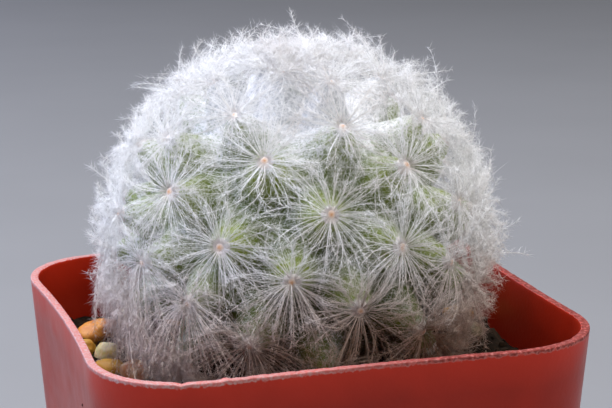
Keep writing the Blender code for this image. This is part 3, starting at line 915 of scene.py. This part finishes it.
def build_crumbs(settings):
    """Grains thrown over the soil: balls of a few faces, each corner pushed in or out by a draw."""
    draw = np.random.default_rng(CRUMB_SEED)
    reach = RIM_WIDTH / 2 - CRUMB_TO_WALL
    places = draw.uniform(-reach, reach, (3 * CRUMB_COUNT, 2))
    off_neck = np.hypot(*places.T) > NECK_RADIUS + CRUMB_TO_NECK
    off_corner = np.abs(places).sum(axis=1) < 2 * reach - CRUMB_TO_CORNER
    places = places[off_neck & off_corner][:CRUMB_COUNT]
    count = len(places)
    size = CRUMB_LEAST + CRUMB_RANGE * draw.random(count) ** 3
    tilt = np.linspace(0, math.pi, CRUMB_ROWS + 2)[1:-1]
    ball = rings(np.sin(tilt), -np.cos(tilt), turns(CRUMB_SIDES))
    push = draw.uniform(*CRUMB_PUSH, (count, CRUMB_ROWS, CRUMB_SIDES, 1))
    stretch = draw.uniform(*CRUMB_STRETCH, (count, 1, 1, 3))
    grids = ball * push * stretch * size[:, None, None, None]
    middles = np.column_stack([places, soil_height(*places.T) + CRUMB_RAISED * size])
    poles = np.array([0.0, 0.0, 1.0]) * (stretch[:, 0, 0] * size[:, None])
    points, faces = closed_surfaces(grids + middles[:, None, None], middles - poles, middles + poles)
    tone = np.repeat(draw.random(count), len(points) // count)
    mesh = new_mesh("soil_crumbs", points, faces, smooth=False, tone=tone)
    new_piece("soil_crumbs", mesh, soil_crumb(settings), "soil")


# Each pebble's turn about Z in degrees, its length, width and height, and its tone
PEBBLES = (
    (42, (0.0058, 0.0034, 0.0029), "amber"),
    (10, (0.0025, 0.0023, 0.0023), "gold"),
    (80, (0.0027, 0.0029, 0.0031), "cream"),
    (-30, (0.0038, 0.0025, 0.0023), "gold"),
    (15, (0.0028, 0.0033, 0.0027), "peach"),
    (-50, (0.0034, 0.0028, 0.0026), "gold"),
    (25, (0.0036, 0.0040, 0.0030), "cream"),
    (70, (0.0040, 0.0030, 0.0026), "amber"),
    (-20, (0.0042, 0.0032, 0.0028), "olive"),
    (35, (0.0046, 0.0034, 0.0030), "gold"),
    (60, (0.0046, 0.0034, 0.0026), "olive"),
    (-35, (0.0038, 0.0032, 0.0026), "amber"),
    (15, (0.0042, 0.0034, 0.0028), "peach"),
    (0, (0.0024, 0.0028, 0.0019), "olive"),
    (20, (0.0034, 0.0040, 0.0028), "gold"),
    (-40, (0.0044, 0.0034, 0.0032), "amber"),
    (10, (0.0040, 0.0034, 0.0028), "cream"),
    (45, (0.0034, 0.0028, 0.0026), "peach"),
)
PEBBLE_ROWS = 19
PEBBLE_SIDES = 30
PEBBLE_ROUGHNESS = 0.17
PEBBLE_LUMPS = 0.7
PEBBLE_SQUARENESS = 0.86
# Each pebble's noise starts at its own size times this
PEBBLE_NOISE_START = 5000


def build_pebble(name, turn, size, material, tone):
    """A stone where its node is: a superellipsoid pushed in and out by noise, stretched and turned."""
    low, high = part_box(name)
    middle = np.array((low + high) / 2)
    tilt = np.linspace(0, math.pi, PEBBLE_ROWS + 2)
    ball = rings(np.sin(tilt), -np.cos(tilt), turns(PEBBLE_SIDES))
    lumps = rough(ball * PEBBLE_LUMPS + np.array(size) * PEBBLE_NOISE_START, 1.0, 3)
    squared = np.sign(ball) * np.abs(ball) ** PEBBLE_SQUARENESS
    shape = squared * (1 + PEBBLE_ROUGHNESS * lumps)[..., None]
    shape *= np.array(size) / 2
    shape = shape @ np.array(Matrix.Rotation(math.radians(turn), 3, "Z")).T
    shape += middle - (shape.max(axis=(0, 1)) + shape.min(axis=(0, 1))) / 2
    points, faces = closed_surfaces(shape[None, 1:-1], shape[None, 0, 0], shape[None, -1, 0])
    new_piece(name + "_stone", new_mesh(name, points, faces), material, "pebble_" + tone, name)


# The plant


def star_directions():
    """Unit vectors from the ball's centre to the areoles, youngest first: each next one is a golden angle
    round and the same drop lower, the young ones of the crown are closer, and the spiral leans with the
    plant. Some have grown a little off it."""
    lean = np.array(Matrix.Rotation(LEAN_LEFT, 3, "Y") @ Matrix.Rotation(LEAN_BACK, 3, "X"))
    index = np.arange(-YOUNG_STARS, int(2 / SPIRAL_DROP))
    young = FIRST_DROP * YOUNG_DROP ** np.maximum(-index, 0)
    down = 1 - SPIRAL_DROP * (np.maximum(index, 0) + young)
    out = np.sqrt(1 - down**2)
    turn = SPIRAL_START + index * SPIRAL_TURN
    x, y, z = (np.column_stack([out * np.cos(turn), out * np.sin(turn), down]) @ lean.T).T
    around, height = np.arctan2(y, x), np.arcsin(z)
    for number, (aside, up) in OFF_SPIRAL.items():
        around[number] += math.radians(aside)
        height[number] += math.radians(up)
    flat = np.cos(height)
    directions = np.column_stack([flat * np.cos(around), flat * np.sin(around), np.sin(height)])
    return directions[directions[:, 2] > LOWEST_STAR]


STARS = star_directions()


def star_sizes(numbers):
    """The size of each numbered star: the youngest few are small."""
    return np.where(numbers < YOUNG_STARS, YOUNG_SIZE, 1.0)


def build_ball(settings):
    """The ball's skin as a height over every direction: a nipple, which is a bell curve of the angle to
    the nearest areole, on a core that runs down into the neck."""
    neck_angle = math.pi - math.asin(NECK_RADIUS / CORE_RADIUS)
    tilt, turn = np.linspace(neck_angle, CROWN_TILT, BALL_ROWS), turns(BALL_COLUMNS)
    directions = rings(np.sin(tilt), np.cos(tilt), turn)
    angles = np.arccos(np.clip(directions @ STARS.T, -1, 1))
    relief = np.exp(-((angles / (TUBERCLE_SPREAD * star_sizes(np.arange(len(STARS))))) ** 2)).max(axis=-1)
    reach = CORE_RADIUS + (TUBERCLE_TIP - CORE_RADIUS) * relief
    reach = reach + SKIN_ROUGHNESS * rough(directions * CORE_RADIUS, SKIN_GRAIN, 2)
    ball = BALL_CENTRE + directions * reach[..., None]
    root_end = SOIL_LEVEL - NECK_DEPTH
    shoulder = root_end + NECK_RADIUS - ROOT_RADIUS
    grid = np.concatenate([rings([ROOT_RADIUS, NECK_RADIUS], [root_end, shoulder], turn), ball])
    top = BALL_CENTRE + [0, 0, reach[-1].mean()]
    points, faces = closed_surfaces(grid[None], np.array([[0, 0, root_end]]), top[None])
    relief = np.concatenate([np.zeros(2 * BALL_COLUMNS), relief.ravel(), [0.0, relief[-1, 0]]])
    from_crown = np.arccos(np.clip(unit(points - BALL_CENTRE)[:, 2], -1, 1))
    wool = np.clip((WOOL_NONE - from_crown) / (WOOL_NONE - WOOL_FULL), 0, 1)
    wool = np.maximum(wool, np.clip((relief - NIPPLE_BARE) / (NIPPLE_WOOLLY - NIPPLE_BARE), 0, 1))
    mesh = new_mesh("ball_skin", points, faces, relief=relief, wool=wool)
    new_piece("ball_skin", mesh, succulent_skin(settings), "tubercle_green", "cactus")


def build_areoles(settings):
    """A cap of felt on each tubercle's tip: rings whose height falls off as a cosine, and with the square
    of their radius as the tip does. The caps shrink towards the crown."""
    draw = np.random.default_rng(AREOLE_SEED)
    first, second = frames_about(STARS)
    share = np.linspace(1.0, 1 / AREOLE_ROWS, AREOLE_ROWS)
    spokes = turned(first[:, None], second[:, None], turns(AREOLE_SIDES))
    size = np.interp(STARS[:, 2], AREOLE_SHRINKS, [1.0, AREOLE_CROWN])[:, None, None, None]
    fuzz = draw.uniform(*AREOLE_FUZZ, (len(STARS), AREOLE_ROWS, AREOLE_SIDES, 1))
    across = AREOLE_RADIUS * size * share[:, None, None] * fuzz * spokes[:, None]
    fall = (AREOLE_DROP * share**2)[:, None, None] * size
    dome = AREOLE_HEIGHT * np.cos(share * math.pi / 2)[:, None, None] * fuzz - fall
    tips = BALL_CENTRE + STARS * TUBERCLE_TIP
    grids = tips[:, None, None] + across + dome * STARS[:, None, None]
    grids[:, 0] -= AREOLE_RIM_DEPTH * STARS[:, None]
    points, faces = closed_surfaces(grids, tips - AREOLE_DEPTH * STARS, tips + AREOLE_HEIGHT * STARS)
    edge = np.concatenate([np.repeat(share, AREOLE_SIDES), [1.0, 0.0]])
    mesh = new_mesh("areoles", points, faces, edge=np.tile(edge, len(STARS)))
    new_piece("areoles", mesh, areole_felt(settings), "areole_tan")


def kept_clear(points):
    """The points with those inside the pot's wall moved in to its inner face, on straight sides and round
    corners alike, and those under the soil raised to its surface."""
    x, y, z = np.moveaxis(points, -1, 0)
    level = np.clip(z / POT_HEIGHT, 0, 1)
    half = (BASE_WIDTH + (RIM_WIDTH - BASE_WIDTH) * level) / 2
    shift = np.stack(drawn_in(np.clip(x / half, -1, 1), np.clip(y / half, -1, 1)), axis=-1)
    limit = half[..., None] - WALL - WALL_CLEARANCE - np.abs(shift) * level[..., None]
    radius = (CORNER_RADIUS * 2 * half / RIM_WIDTH - WALL - WALL_CLEARANCE)[..., None]
    flat = np.abs(points[..., :2])
    over = np.maximum(flat - (limit - radius), 0)
    length = np.maximum(np.linalg.norm(over, axis=-1, keepdims=True), radius)
    inside = np.sign(points[..., :2]) * (np.minimum(flat, limit - radius) + over * radius / length)
    below_rim = (z < POT_HEIGHT + WALL_CLEARANCE)[..., None]
    kept = np.array(points)
    kept[..., :2] = np.where(below_rim, inside, points[..., :2])
    ground = soil_height(kept[..., 0], kept[..., 1]) + SOIL_CLEARANCE
    kept[..., 2] = np.maximum(z, ground)
    return kept


def hanging(stars):
    """How much each star's spines hang, from 0 to 1: a cosine of the angle from the hanging side."""
    around = np.arctan2(stars[:, 1], stars[:, 0])
    near = (np.cos(around - HANG_SIDE) - math.cos(HANG_WIDTH)) / (1 - math.cos(HANG_WIDTH))
    return np.maximum(near, 0)


def spine_paths(stars, numbers, count, knots, settings, draw):
    """The lines of all spines of these stars, as (spine, knot, 3), and the star's direction of each.

    A star's spines follow a golden angle round, and the later they come the longer they are and the lower
    they lie, but some of the early ones stand tall. A spine goes out from its areole and rises ever less,
    so that it arches over. It curls aside with the cube of its length. On the upper ball it also sweeps
    up, low on the ball it sags, and on the hanging side it hangs."""
    share = (np.arange(count) + 0.5) / count
    shape = (len(stars), count)
    young = star_sizes(numbers)[:, None]
    lift = CROWN_RISE * np.maximum(0, 1 - np.arccos(stars[:, 2]) / CROWN_ANGLE)[:, None]
    around = np.arange(count) * GOLDEN_TURN + numbers[:, None] * STAR_TURN + draw.uniform(*TURN_DRAW, shape)
    rise = HIGH_RISE + (LOW_RISE - HIGH_RISE) * share**RISE_FALL + lift + draw.uniform(*RISE_DRAW, shape)
    length = settings.spine_length * young * draw.uniform(*LENGTH_DRAW, shape)
    length *= np.array([STAR_LENGTHS.get(number, 1.0) for number in numbers])[:, None]
    tall = (share < TALL_WITHIN) & (draw.random(shape) < TALL_SHARE)
    length *= np.where(tall, TALL_LENGTH, INNER_LENGTH + (1 - INNER_LENGTH) * share)
    arch = np.where(tall, TALL_ARCH, 1.0) * (ARCH + draw.uniform(*ARCH_DRAW, shape))
    drift = draw.normal(0.0, DRIFT_SPREAD, shape)
    drift = drift + (draw.random(shape) < STRAY_SHARE) * draw.normal(0.0, STRAY_SPREAD, shape)
    first, second = (frame[:, None] for frame in frames_about(stars))
    outward, aside = turned(first, second, around), turned(second, -first, around)
    step = np.linspace(0.0, 1.0, knots)
    out = ROOT_RING * young[..., None] + (length * np.cos(rise))[..., None] * step
    flat = 1 - HANG_FLAT * hanging(stars)[:, None] * (stars[:, 2] < HANG_BELOW)[:, None]
    up = (length * flat * np.sin(rise))[..., None] * (step - arch[..., None] * step**2)
    side = CURL * (length * np.clip(drift, -DRIFT_MOST, DRIFT_MOST))[..., None] * step**3
    hubs = BALL_CENTRE + stars * (TUBERCLE_TIP + HUB_LIFT)
    paths = hubs[:, None, None] + out[..., None] * outward[:, :, None]
    paths = paths + up[..., None] * stars[:, None, None] + side[..., None] * aside[:, :, None]
    swept = UPSWEEP * np.interp(stars[:, 2], UPSWEPT, [0.0, 1.0, 1.0, 0.0])
    low = SAG * np.clip(SAG_BELOW - stars[:, 2], 0.0, SAG_FULL) - swept
    hung = HANG * hanging(stars) * np.clip((HANG_BELOW - stars[:, 2]) / HANG_BELOW, 0.0, 1.0)
    paths[..., 2] -= (length * (low + hung)[:, None])[..., None] * step**2
    directions = np.broadcast_to(stars[:, None], (*shape, 3)).reshape(-1, 3)
    return kept_clear(paths.reshape(-1, knots, 3)), directions


def skirt_paths(draw):
    """The lines of the skirt's feathers, and the star's direction of each. Each starts at a low star, the
    more often the nearer it is to the skirt's side, goes out ever less and down ever more."""
    chance = hanging(STARS) * (STARS[:, 2] < SKIRT_BELOW)
    stars = STARS[draw.choice(len(STARS), SKIRT_COUNT, p=chance / chance.sum())][:, None]
    outward = unit(stars * [1, 1, 0])
    aside = np.cross([0.0, 0.0, 1.0], outward)
    length = draw.uniform(*SKIRT_LENGTH, (SKIRT_COUNT, 1, 1))
    step = np.linspace(0.0, 1.0, PATH_POINTS)[:, None]
    out = draw.uniform(*SKIRT_OUT, length.shape) * step * (1 - 0.5 * step)
    sideways = draw.normal(0.0, SKIRT_ASIDE, length.shape) * step
    down = draw.uniform(*SKIRT_DOWN, length.shape) * step * (1 - step) + step**2
    fall = out * outward + sideways * aside - down * np.array([0.0, 0.0, SKIRT_FALL])
    return kept_clear(BALL_CENTRE + stars * TUBERCLE_TIP + length * fall), stars[:, 0]


def path_frames(paths, directions):
    """At each point of each path, its unit tangent and two unit vectors square to it, the first of them
    also square to the star's direction."""
    along = unit(np.gradient(paths, axis=1))
    aside = unit(np.cross(along, directions[:, None]))
    return along, aside, np.cross(along, aside)


def rachis_surfaces(paths, frames, radius, draw):
    """Each spine's shaft: rings of a few sides about its path, narrowing to a point at the tip."""
    aside, under = (frame[:, 1:-1, None] for frame in frames[1:])
    step = np.linspace(0.0, 1.0, paths.shape[1])[1:-1]
    width = radius * draw.uniform(*RACHIS_WIDTHS, len(paths))[:, None] * (RACHIS_ROOT - RACHIS_TAPER * step)
    grids = paths[:, 1:-1, None] + width[..., None, None] * turned(aside, under, turns(RACHIS_SIDES))
    points, faces = closed_surfaces(grids, paths[:, 0], paths[:, -1])
    along = np.concatenate([np.repeat(step, RACHIS_SIDES), [0.0, 1.0]])
    return points, faces, np.tile(along, len(paths))


PAIR_FACES = np.array([(0, 1, 3), (1, 2, 3), (2, 0, 3), (1, 0, 4), (2, 1, 4), (0, 2, 4)])
HAIR_FACES = np.array([(0, 1, 3), (1, 2, 3), (2, 0, 3), (2, 1, 0)])


def triangle(middles, first, second, radius):
    """The corners of a small triangle about each middle, in the plane of two unit vectors."""
    return [middles + radius * turned(first, second, angle) for angle in turns(3)]


def barb_surfaces(paths, frames, fluff, settings, draw):
    """The barbs of each spine in pairs: two thin spikes of three faces each, which leave one small
    triangle on the shaft to either side and lean towards its tip. The pairs follow a golden angle round
    the shaft, and shorten near both its ends."""
    count, pairs = len(paths), settings.barbs
    share = (np.arange(pairs) + draw.random((count, pairs))) / pairs
    place = BARBS_FROM + (1.0 - BARBS_FROM) * share**BARBS_CROWD
    cell = np.minimum((place * (PATH_POINTS - 1)).astype(int), PATH_POINTS - 2)
    part = (place * (PATH_POINTS - 1) - cell)[..., None]
    spine = np.arange(count)[:, None]

    def at_place(values):
        return values[spine, cell] * (1 - part) + values[spine, cell + 1] * part

    middles = at_place(paths)
    along, aside, under = (unit(at_place(values)) for values in frames)
    turn = np.arange(pairs) * GOLDEN_TURN + draw.uniform(0, BARB_TURN, (count, 1))
    spoke = turned(aside, under, turn)
    corners = triangle(middles, np.cross(along, spoke), along, BARB_RADIUS)
    (first, gain), (last, loss) = BARBS_GROW, BARBS_SHRINK
    full = np.minimum(1.0, first + gain * share) * np.minimum(1.0, last + loss * (1 - share))
    for way in (1, -1):
        lean = BARB_LEAN + draw.normal(0.0, LEAN_SPREAD, (count, pairs))
        length = settings.barb_length * fluff * full * draw.uniform(*BARB_LENGTHS, (count, pairs))
        corners.append(kept_clear(middles + turned(along, way * spoke, lean) * length[..., None]))
    points = np.stack(corners, axis=2)
    faces = (PAIR_FACES + 5 * np.arange(count * pairs)[:, None, None]).reshape(-1, 3)
    return points.reshape(-1, 3), [faces], np.repeat(place.ravel(), 5)


def hair_surfaces(stars, numbers, draw):
    """Short hairs round each areole: spikes of four faces, which stand in a ring about it and lean out."""
    shape = (len(stars), HAIRS_PER_STAR)
    young = star_sizes(numbers)[:, None, None]
    around = draw.uniform(0.0, 2 * math.pi, shape)
    rise = draw.uniform(*HAIR_RISE, shape)
    length = HAIR_LENGTH * young * draw.uniform(*HAIR_LENGTHS, shape)[..., None]
    first, second = (frame[:, None] for frame in frames_about(stars))
    outward, aside = turned(first, second, around), turned(second, -first, around)
    heading = turned(outward, stars[:, None], rise)
    ring = ROOT_RING * young * draw.uniform(*HAIR_RINGS, shape)[..., None]
    roots = BALL_CENTRE + stars[:, None] * TUBERCLE_TIP + outward * ring
    corners = triangle(roots, aside, np.cross(heading, aside), HAIR_RADIUS)
    points = np.stack([*corners, kept_clear(roots + heading * length)], axis=2)
    count = len(stars) * HAIRS_PER_STAR
    faces = (HAIR_FACES + 4 * np.arange(count)[:, None, None]).reshape(-1, 3)
    return points.reshape(-1, 3), [faces], np.tile(HAIR_ALONG, count)


def new_fur(name, material, batches):
    """One piece of several batches of surfaces, each given as (points, arrays of faces, along, tone)."""
    points, groups, along, tones = zip(*batches)
    counts = [len(batch) for batch in points]
    starts = np.cumsum([0, *counts[:-1]])
    faces = [group + start for start, batch in zip(starts, groups) for group in batch]
    tone = np.concatenate([np.repeat(batch, count // len(batch)) for batch, count in zip(tones, counts)])
    mesh = new_mesh(name, np.vstack(points), faces, along=np.concatenate(along), tone=tone)
    new_piece(name, mesh, material, "spine_white")


def feathers(paths, directions, fluff, settings, draw):
    """The shafts of these paths and their barbs, as two batches of surfaces."""
    frames = path_frames(paths, directions)
    tones = draw.random(len(paths))
    shafts = rachis_surfaces(paths, frames, settings.spine_radius, draw)
    barbs = barb_surfaces(paths, frames, fluff, settings, draw)
    return [(*shafts, tones), (*barbs, tones)]


def build_spines(settings):
    """The spines in tiers from the crown down, each tier one piece, and the skirt."""
    material = feather_white(settings)
    for number, members in enumerate(np.array_split(np.arange(len(STARS)), TIERS)):
        draw = np.random.default_rng(SPINE_SEED + number)
        stars = STARS[members]
        count = round(settings.spines * TIER_SPINES[number])
        paths, directions = spine_paths(stars, members, count, PATH_POINTS, settings, draw)
        surfaces = feathers(paths, directions, TIER_FLUFF[number], settings, draw)
        paths, directions = spine_paths(stars, members, SILK_PER_STAR, SILK_POINTS, settings, draw)
        frames = path_frames(paths, directions)
        silk = rachis_surfaces(paths, frames, SILK_WIDTH * settings.spine_radius, draw)
        surfaces.append((*silk, draw.random(len(paths))))
        surfaces.append((*hair_surfaces(stars, members, draw), [HAIR_TONE]))
        new_fur(f"spines_tier_{number + 1}", material, surfaces)
    draw = np.random.default_rng(SPINE_SEED + TIERS)
    new_fur("spines_skirt", material, feathers(*skirt_paths(draw), SKIRT_FLUFF, settings, draw))


# The stage

CAMERA_PLACE = (-0.06194, -0.21282, 0.11143)
CAMERA_RIGHT = (0.95785, -0.28711, -0.00943)
CAMERA_UP = (0.07293, 0.21133, 0.97469)
CAMERA_LENS = 122.917
CAMERA_SENSOR = 36.0
CAMERA_NEAREST = 0.01
FLOOR_START = 0.05
FLOOR_REACH = 1.6
FLOOR_BEND = 0.6
FLOOR_POINTS = 12
FLOOR_SIDES = 96

# Each panel of light: its place, its size and its colour
PANELS = {
    "top": ((-0.06, 0.12, 0.62), (0.42, 0.34), (0.89, 0.92, 1.0)),
    "left": ((-0.58, 0.08, 0.38), (0.30, 0.40), (0.68, 0.75, 1.0)),
    "right": ((0.58, -0.22, 0.14), (0.16, 0.24), (1.0, 0.94, 0.96)),
    "front": ((0.06, -0.46, 0.78), (0.50, 0.40), (1.0, 0.955, 0.88)),
    "rim": ((-0.26, 0.80, 0.14), (0.30, 0.30), (0.66, 0.73, 1.0)),
}
AIM = Vector((0.0, 0.0, 0.055))
SKY = (0.86, 0.86, 0.88, 1.0)
SKY_STRENGTH = 0.20


def build_floor(settings):
    """A round floor whose rim curves up into a wall, as a profile turned about Z."""
    bend = np.linspace(0, math.pi / 2, FLOOR_POINTS)[1:]
    flat = np.linspace(FLOOR_START, FLOOR_REACH, FLOOR_POINTS)
    radii = np.concatenate([flat, FLOOR_REACH + FLOOR_BEND * np.sin(bend)])
    heights = np.concatenate([np.zeros(FLOOR_POINTS), FLOOR_BEND * (1 - np.cos(bend))])
    middle = np.zeros((1, 3))
    profile = rings(radii, heights, -turns(FLOOR_SIDES))
    points, (quads, fan, _) = closed_surfaces(profile[None], middle, middle)
    mesh = new_mesh("studio_floor", points[:-1], [quads, fan])
    mesh.materials.append(studio_floor(settings))
    floor = linked("studio_floor", mesh)


def build_lights(settings):
    """Soft panels that face the plant, under an even sky."""
    for name, (place, size, colour) in PANELS.items():
        data = bpy.data.lights.new(name + "_panel", "AREA")
        data.shape = "RECTANGLE"
        data.size, data.size_y = size
        data.energy = getattr(settings, name)
        data.color = colour
        light = linked(name + "_panel", data)
        light.location = place
        light.rotation_euler = (AIM - Vector(place)).to_track_quat("-Z", "Y").to_euler()
        light.visible_camera = False
    world = bpy.data.worlds.new("studio")
    world.use_nodes = True
    background = world.node_tree.nodes["Background"]
    background.inputs["Color"].default_value = SKY
    background.inputs["Strength"].default_value = SKY_STRENGTH
    bpy.context.scene.world = world


def build_camera():
    """A camera given by its place, the ways its picture's right side and top face, and its lens."""
    right, up = Vector(CAMERA_RIGHT), Vector(CAMERA_UP)
    data = bpy.data.cameras.new("camera")
    data.lens = CAMERA_LENS
    data.sensor_width = CAMERA_SENSOR
    data.clip_start = CAMERA_NEAREST
    camera = linked("camera", data)
    axes = Matrix((right, up, right.cross(up))).transposed()
    camera.matrix_world = Matrix.Translation(CAMERA_PLACE) @ axes.to_4x4()
    bpy.context.scene.camera = camera


# The operators and their panel


class CactusOperator:
    bl_options = {"REGISTER"}


class FEATHER_CACTUS_OT_pot(CactusOperator, bpy.types.Operator):
    """Builds the moulded pot with its worn lip and its drain holes"""

    bl_idname = "feather_cactus.pot"
    bl_label = "Pot"

    def execute(self, context):
        build_pot(context.scene.feather_cactus.pot)
        return {"FINISHED"}


class FEATHER_CACTUS_OT_ground(CactusOperator, bpy.types.Operator):
    """Builds the soil bed and the loose crumbs on it"""

    bl_idname = "feather_cactus.ground"
    bl_label = "Soil"

    def execute(self, context):
        settings = context.scene.feather_cactus.ground
        build_soil(settings)
        build_crumbs(settings)
        return {"FINISHED"}


class FEATHER_CACTUS_OT_pebbles(CactusOperator, bpy.types.Operator):
    """Builds the pebbles on the soil"""

    bl_idname = "feather_cactus.pebbles"
    bl_label = "Pebbles"

    def execute(self, context):
        materials = {tone: stone(tone) for tone in STONES}
        for number, (turn, size, tone) in enumerate(PEBBLES, 1):
            build_pebble(f"pebble_{number:02}", turn, size, materials[tone], tone)
        return {"FINISHED"}


class FEATHER_CACTUS_OT_ball(CactusOperator, bpy.types.Operator):
    """Builds the green ball of tubercles with its neck"""

    bl_idname = "feather_cactus.ball"
    bl_label = "Ball"

    def execute(self, context):
        build_ball(context.scene.feather_cactus.plant)
        return {"FINISHED"}


class FEATHER_CACTUS_OT_areoles(CactusOperator, bpy.types.Operator):
    """Builds the felted areoles on the tubercles"""

    bl_idname = "feather_cactus.areoles"
    bl_label = "Areoles"

    def execute(self, context):
        build_areoles(context.scene.feather_cactus.plant)
        return {"FINISHED"}


class FEATHER_CACTUS_OT_spines(CactusOperator, bpy.types.Operator):
    """Builds the feathered spines of all areoles"""

    bl_idname = "feather_cactus.spines"
    bl_label = "Spines"

    def execute(self, context):
        build_spines(context.scene.feather_cactus.plant)
        return {"FINISHED"}


class FEATHER_CACTUS_OT_stage(CactusOperator, bpy.types.Operator):
    """Builds the floor, the lights and the camera"""

    bl_idname = "feather_cactus.stage"
    bl_label = "Stage"

    def execute(self, context):
        settings = context.scene.feather_cactus.stage
        build_floor(settings)
        build_lights(settings)
        build_camera()
        context.scene.view_settings.view_transform = "Standard"
        return {"FINISHED"}


OPERATORS = (
    FEATHER_CACTUS_OT_pot,
    FEATHER_CACTUS_OT_ground,
    FEATHER_CACTUS_OT_pebbles,
    FEATHER_CACTUS_OT_ball,
    FEATHER_CACTUS_OT_areoles,
    FEATHER_CACTUS_OT_spines,
    FEATHER_CACTUS_OT_stage,
)


class FEATHER_CACTUS_PT_panel(bpy.types.Panel):
    """Lists the pieces of the potted plant"""

    bl_idname = "FEATHER_CACTUS_PT_panel"
    bl_label = "Feather Cactus"
    bl_space_type = "VIEW_3D"
    bl_region_type = "UI"
    bl_category = "Feather Cactus"

    def draw(self, context):
        settings = context.scene.feather_cactus
        for group in (settings.pot, settings.ground, settings.plant, settings.stage):
            box = self.layout.box()
            for name in group.bl_rna.properties.keys():
                if name not in ("rna_type", "name"):
                    box.prop(group, name)
        for operator in OPERATORS:
            self.layout.operator(operator.bl_idname)


CLASSES = (
    PotSettings,
    GroundSettings,
    PlantSettings,
    StageSettings,
    FeatherCactusSettings,
    *OPERATORS,
    FEATHER_CACTUS_PT_panel,
)


def register():
    """Adds the classes and the scene's settings to Blender."""
    for item in CLASSES:
        bpy.utils.register_class(item)
    bpy.types.Scene.feather_cactus = PointerProperty(type=FeatherCactusSettings)


def unregister():
    """Takes them out again."""
    del bpy.types.Scene.feather_cactus
    for item in reversed(CLASSES):
        bpy.utils.unregister_class(item)


def main():
    """Builds everything in order."""
    register()
    bpy.ops.feather_cactus.pot()
    bpy.ops.feather_cactus.ground()
    bpy.ops.feather_cactus.pebbles()
    bpy.ops.feather_cactus.ball()
    bpy.ops.feather_cactus.areoles()
    bpy.ops.feather_cactus.spines()
    bpy.ops.feather_cactus.stage()


if __name__ == "__main__":
    main()
